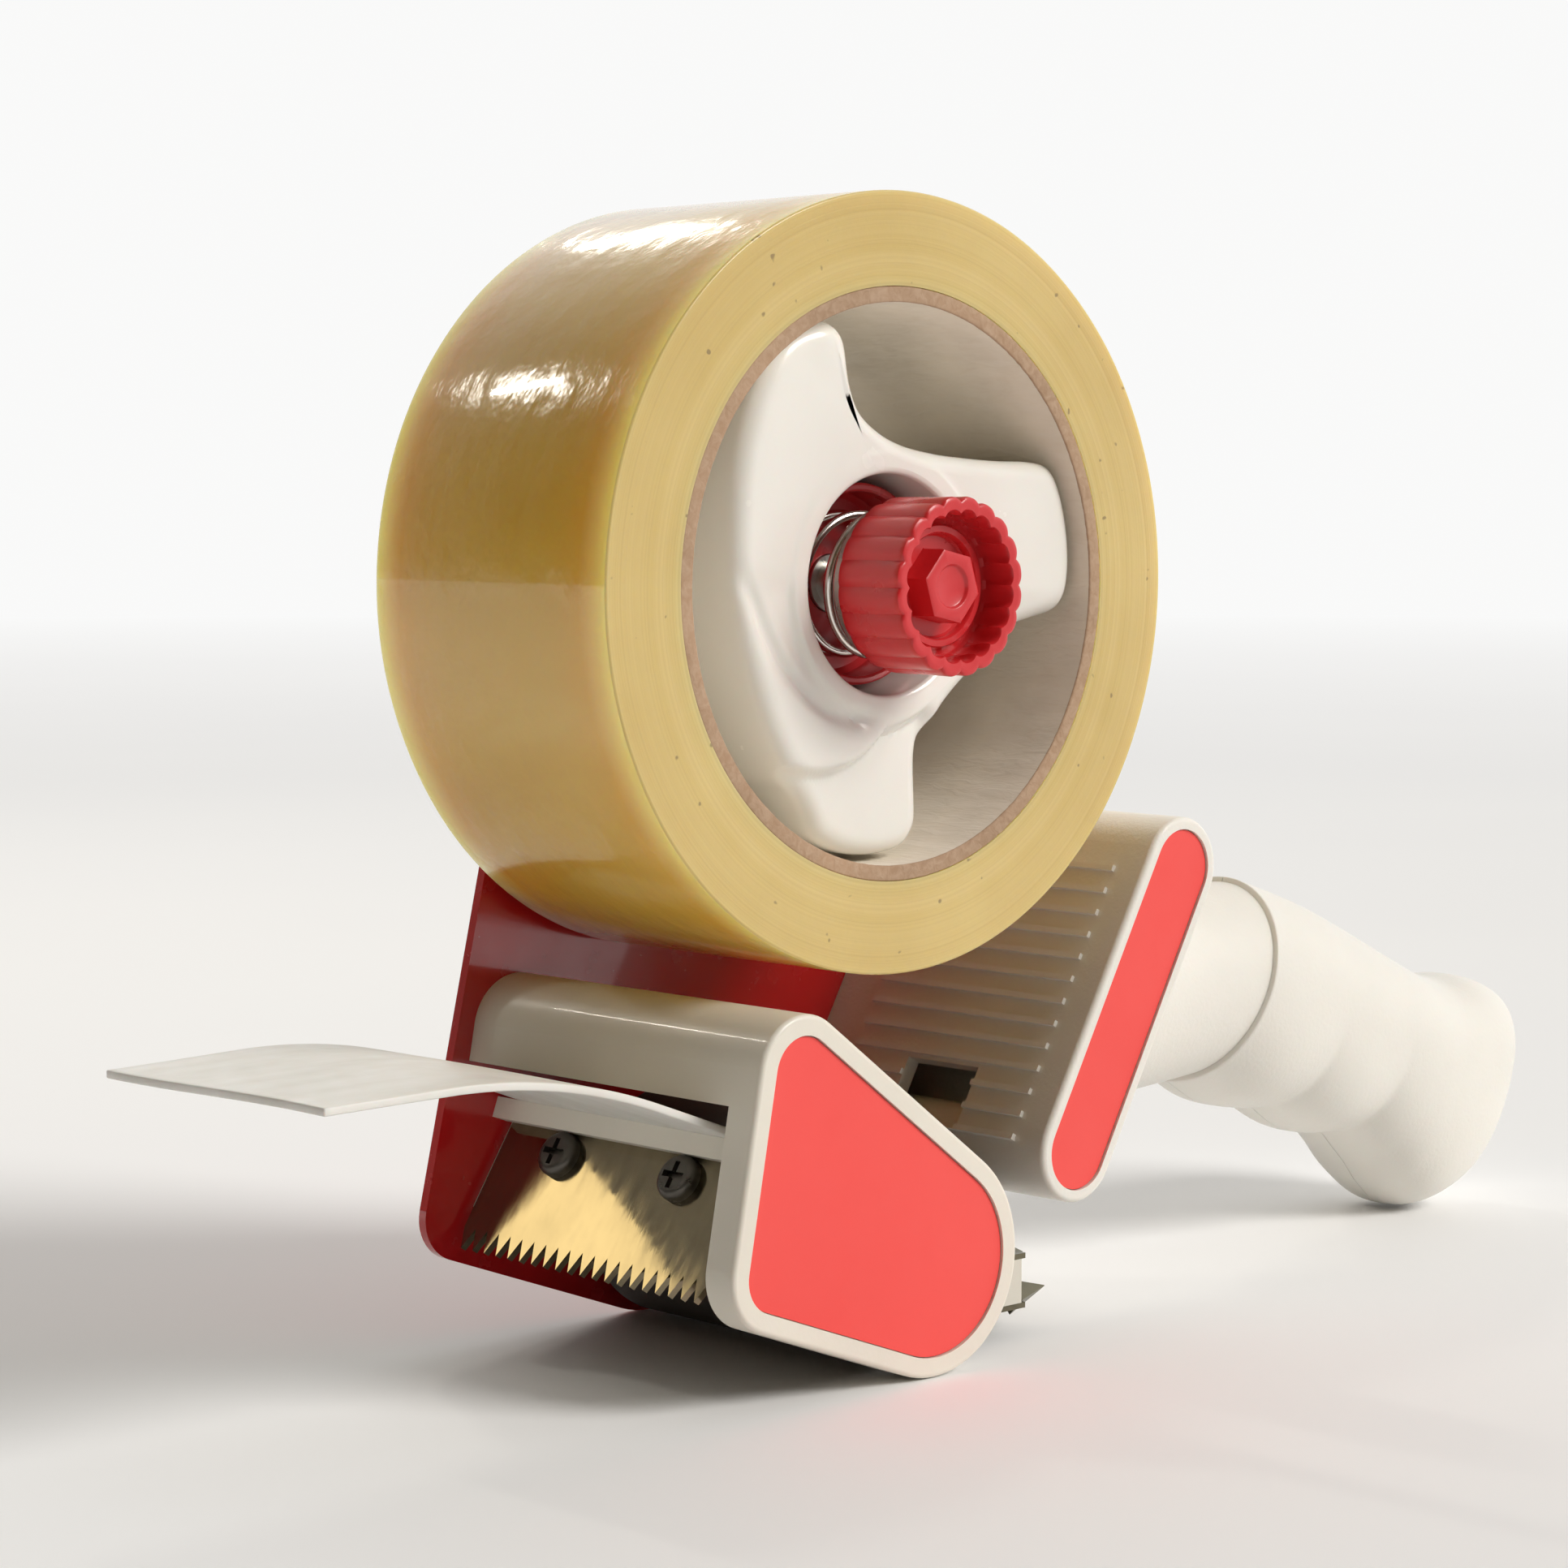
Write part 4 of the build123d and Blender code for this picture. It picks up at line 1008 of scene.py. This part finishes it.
def gripPoint(u, turn, inset):
    top, bottom, half = gripSection(u)
    sine, cosine = math.sin(turn), math.cos(turn)
    # round at the neck, and squarer from there on
    power = 1 - (1 - gripLook["squareness"]) * smoothStep(u / gripLook["neckLength"])
    # the creases between the fingers fade out up the sides
    below = smoothStep((0.25 - sine) / 1.1)
    for place in gripLook["creases"]:
        inset += gripLook["creaseDepth"] * below * math.exp(-abs(u - place) / gripLook["creaseWidth"])
    up = (top + bottom) / 2 + ((top - bottom) / 2 - inset) * math.copysign(abs(sine) ** power, sine)
    across = (half - inset) * math.copysign(abs(cosine) ** power, cosine)
    tilt = math.radians(gripLook["tilt"])
    x = gripLook["collar"][0] + math.cos(tilt) * u + math.sin(tilt) * up
    z = gripLook["collar"][1] - math.sin(tilt) * u + math.cos(tilt) * up
    return Vector((x, gripLook["midY"] + across, z))


def makeGripHalf(name, node, side):
    bm = bmesh.new()
    rows, around = gripLook["rows"], gripLook["around"]
    last = gripLook["sections"][-1][0]
    # marks are (distance, inset): the neck's rim, the even rows, and the closed end
    marks = [(0.0, 2.2), (0.0, 0.15), (0.15, 0.0), (0.6, 0.0)]
    marks += [(0.6 + (last - 0.8) * i / rows, 0.0) for i in range(1, rows + 1)]
    marks += [(last - 0.08, 0.35), (last, 0.9), (last, 3.0), (last, 6.0)]
    turns = [math.tau * i / around for i in range(around)]
    rings = [[bm.verts.new(gripPoint(u, turn, inset)) for turn in turns] for u, inset in marks]
    for a, b in zip(rings, rings[1:]):
        for i in range(around):
            j = (i + 1) % around
            bm.faces.new((a[i], a[j], b[j], b[i]))
    bm.faces.new(rings[0])
    bm.faces.new(rings[-1])
    bmesh.ops.recalc_face_normals(bm, faces=bm.faces)
    cut = bmesh.ops.bisect_plane(
        bm,
        geom=bm.verts[:] + bm.edges[:] + bm.faces[:],
        plane_co=(0, gripLook["midY"] + side * gripLook["seam"], 0),
        plane_no=(0, -side, 0),
        clear_outer=True,
    )
    edges = [g for g in cut["geom_cut"] if isinstance(g, bmesh.types.BMEdge)]
    bmesh.ops.edgeloop_fill(bm, edges=edges)
    finishPiece(name, bm, ["gripIvory"], [node], "frame", 45)


makeGripHalf("gripNear", "grip_near", -1)
makeGripHalf("gripFar", "grip_far", 1)
print("grip made")


# Roller's tyre
rollerLook = {"tyre": 3.2, "edge": 0.9, "steps": 128}


def makeRoller():
    low, high = localBox("roller_tyre")
    centre = Vector(((low.x + high.x) / 2, 0, (low.z + high.z) / 2))
    outer, half = (high.x - low.x) / 2, (high.y - low.y) / 2
    profile = roundedRing(outer - rollerLook["tyre"], outer, -half, half, rollerLook["edge"])
    bm = bmesh.new()
    spinProfile(bm, profile, rollerLook["steps"])
    bmesh.ops.translate(bm, vec=centre + Vector((0, (low.y + high.y) / 2, 0)), verts=bm.verts)
    finishPiece("rollerTyre", bm, ["rubber"], ["roller_tyre"], "press_roller", 40)


makeRoller()
print("roller made")


# Floor and room: the floor fades into the bright side of the room, which is dark behind the camera.
room = {
    "bright": (0.95, 0.95, 0.945),
    "dark": (0.075, 0.060, 0.036),
    "brightSide": (0.93, 0.36, 0.0),
    "darkEnd": 0.3,
    "brightEnd": 0.86,
    "floorSize": 40,
    "fadeStart": 0.5,
    "fadeEnd": 3.0,
}


def addFloor():
    bm = bmesh.new()
    bmesh.ops.create_grid(bm, x_segments=8, y_segments=8, size=room["floorSize"])
    mesh = bpy.data.meshes.new("paleFloor")
    bm.to_mesh(mesh)
    bm.free()
    mat = newMaterial("paleFloor", (0.93, 0.93, 0.93), 0.8)
    shade = rampOf(mat, clouds(mat, 3, 2), (0.3, (0.92, 0.92, 0.925)), (0.7, (0.94, 0.94, 0.94)))
    feed(mat, "Base Color", shade)
    length = addNode(mat, "ShaderNodeVectorMath", [(0, objectCoords(mat))], operation="LENGTH")
    away = spread(mat, length.outputs["Value"], 0.0, 1.0, room["fadeStart"], room["fadeEnd"])
    glow = addNode(mat, "ShaderNodeEmission", Color=(*room["bright"], 1), Strength=1.0)
    blend = addNode(mat, "ShaderNodeMixShader", [("Fac", away)])
    links = mat.node_tree.links
    links.new(shaderOf(mat).outputs[0], blend.inputs[1])
    links.new(glow.outputs[0], blend.inputs[2])
    links.new(blend.outputs[0], mat.node_tree.nodes["Material Output"].inputs["Surface"])
    mesh.materials.append(mat)
    floor = bpy.data.objects.new("paleFloor", mesh)
    bpy.context.scene.collection.objects.link(floor)


def addAreaLight(name, place, target, size, power, colour):
    data = bpy.data.lights.new(name, "AREA")
    data.shape = "RECTANGLE"
    data.size, data.size_y = size
    data.energy = power
    data.color = colour
    lamp = bpy.data.objects.new(name, data)
    bpy.context.scene.collection.objects.link(lamp)
    place, target = Vector(place), Vector(target)
    ahead = (target - place).normalized()
    side = Vector((0, 1, 0)) - ahead * ahead.y
    side.normalize()
    turn = Matrix((side, -ahead.cross(side), -ahead)).transposed()
    lamp.matrix_world = Matrix.Translation(place) @ turn.to_4x4()
    return lamp


def addSun(name, towards, strength, angle, colour):
    data = bpy.data.lights.new(name, "SUN")
    data.energy = strength
    data.angle = math.radians(angle)
    data.color = colour
    lamp = bpy.data.objects.new(name, data)
    bpy.context.scene.collection.objects.link(lamp)
    lamp.rotation_mode = "QUATERNION"
    lamp.rotation_quaternion = Vector(towards).to_track_quat("-Z", "Y")


def addWorld():
    world = bpy.data.worlds.new("paleRoom")
    bpy.context.scene.world = world
    world.use_nodes = True
    tree = world.node_tree
    coords = tree.nodes.new("ShaderNodeTexCoord")
    dot = tree.nodes.new("ShaderNodeVectorMath")
    dot.operation = "DOT_PRODUCT"
    dot.inputs[1].default_value = room["brightSide"]
    ramp = tree.nodes.new("ShaderNodeValToRGB")
    ramp.color_ramp.elements[0].position = room["darkEnd"]
    ramp.color_ramp.elements[0].color = (*room["dark"], 1)
    ramp.color_ramp.elements[1].position = room["brightEnd"]
    ramp.color_ramp.elements[1].color = (*room["bright"], 1)
    shift = tree.nodes.new("ShaderNodeMapRange")
    shift.inputs["From Min"].default_value = -1.0
    shift.inputs["From Max"].default_value = 1.0
    back = tree.nodes["Background"]
    tree.links.new(coords.outputs["Generated"], dot.inputs[0])
    tree.links.new(dot.outputs["Value"], shift.inputs["Value"])
    tree.links.new(shift.outputs[0], ramp.inputs["Fac"])
    tree.links.new(ramp.outputs["Color"], back.inputs["Color"])
    back.inputs["Strength"].default_value = 1.0


# Lights
sun = {"towards": (-0.42, 0.80, -0.62), "strength": 2.1, "angle": 24, "colour": (1.0, 0.975, 0.94)}
streak = {"distance": 0.9, "size": (0.11, 0.022), "power": 0.6, "colour": (1.0, 0.95, 0.84)}
bladeGlow = {
    "place": (-0.42, 0.62, 0.42),
    "target": (-0.07, 0.0, 0.02),
    "size": (0.26, 0.24),
    "power": 0.7,
    "colour": (1.0, 0.84, 0.5),
}


def streakLight(name, angle):
    # a long narrow light whose mirror image lies along the roll at the given angle round it
    outer = localBox("tape_roll")[1].x * 0.001
    normal = Vector((math.cos(math.radians(angle)), 0, math.sin(math.radians(angle))))
    spot = origin + normal * outer
    look = (Vector(view["place"]) - spot).normalized()
    mirrored = (2 * normal.dot(look) * normal - look).normalized()
    place = spot + mirrored * streak["distance"]
    addAreaLight(name, place, spot, streak["size"], streak["power"], streak["colour"])


addFloor()
addWorld()
addSun("keySun", **sun)
streakLight("upperStreak", 118)
streakLight("lowerStreak", 150)
# the blade's warm gleam is a light that reaches the blade alone
glow = addAreaLight("bladeGlow", **bladeGlow)
lit = bpy.data.collections.new("glowOnBlade")
lit.objects.link(nodes["cutter_blade"])
glow.light_linking.receiver_collection = lit
bpy.context.scene.view_settings.view_transform = "Standard"
print("stage set")
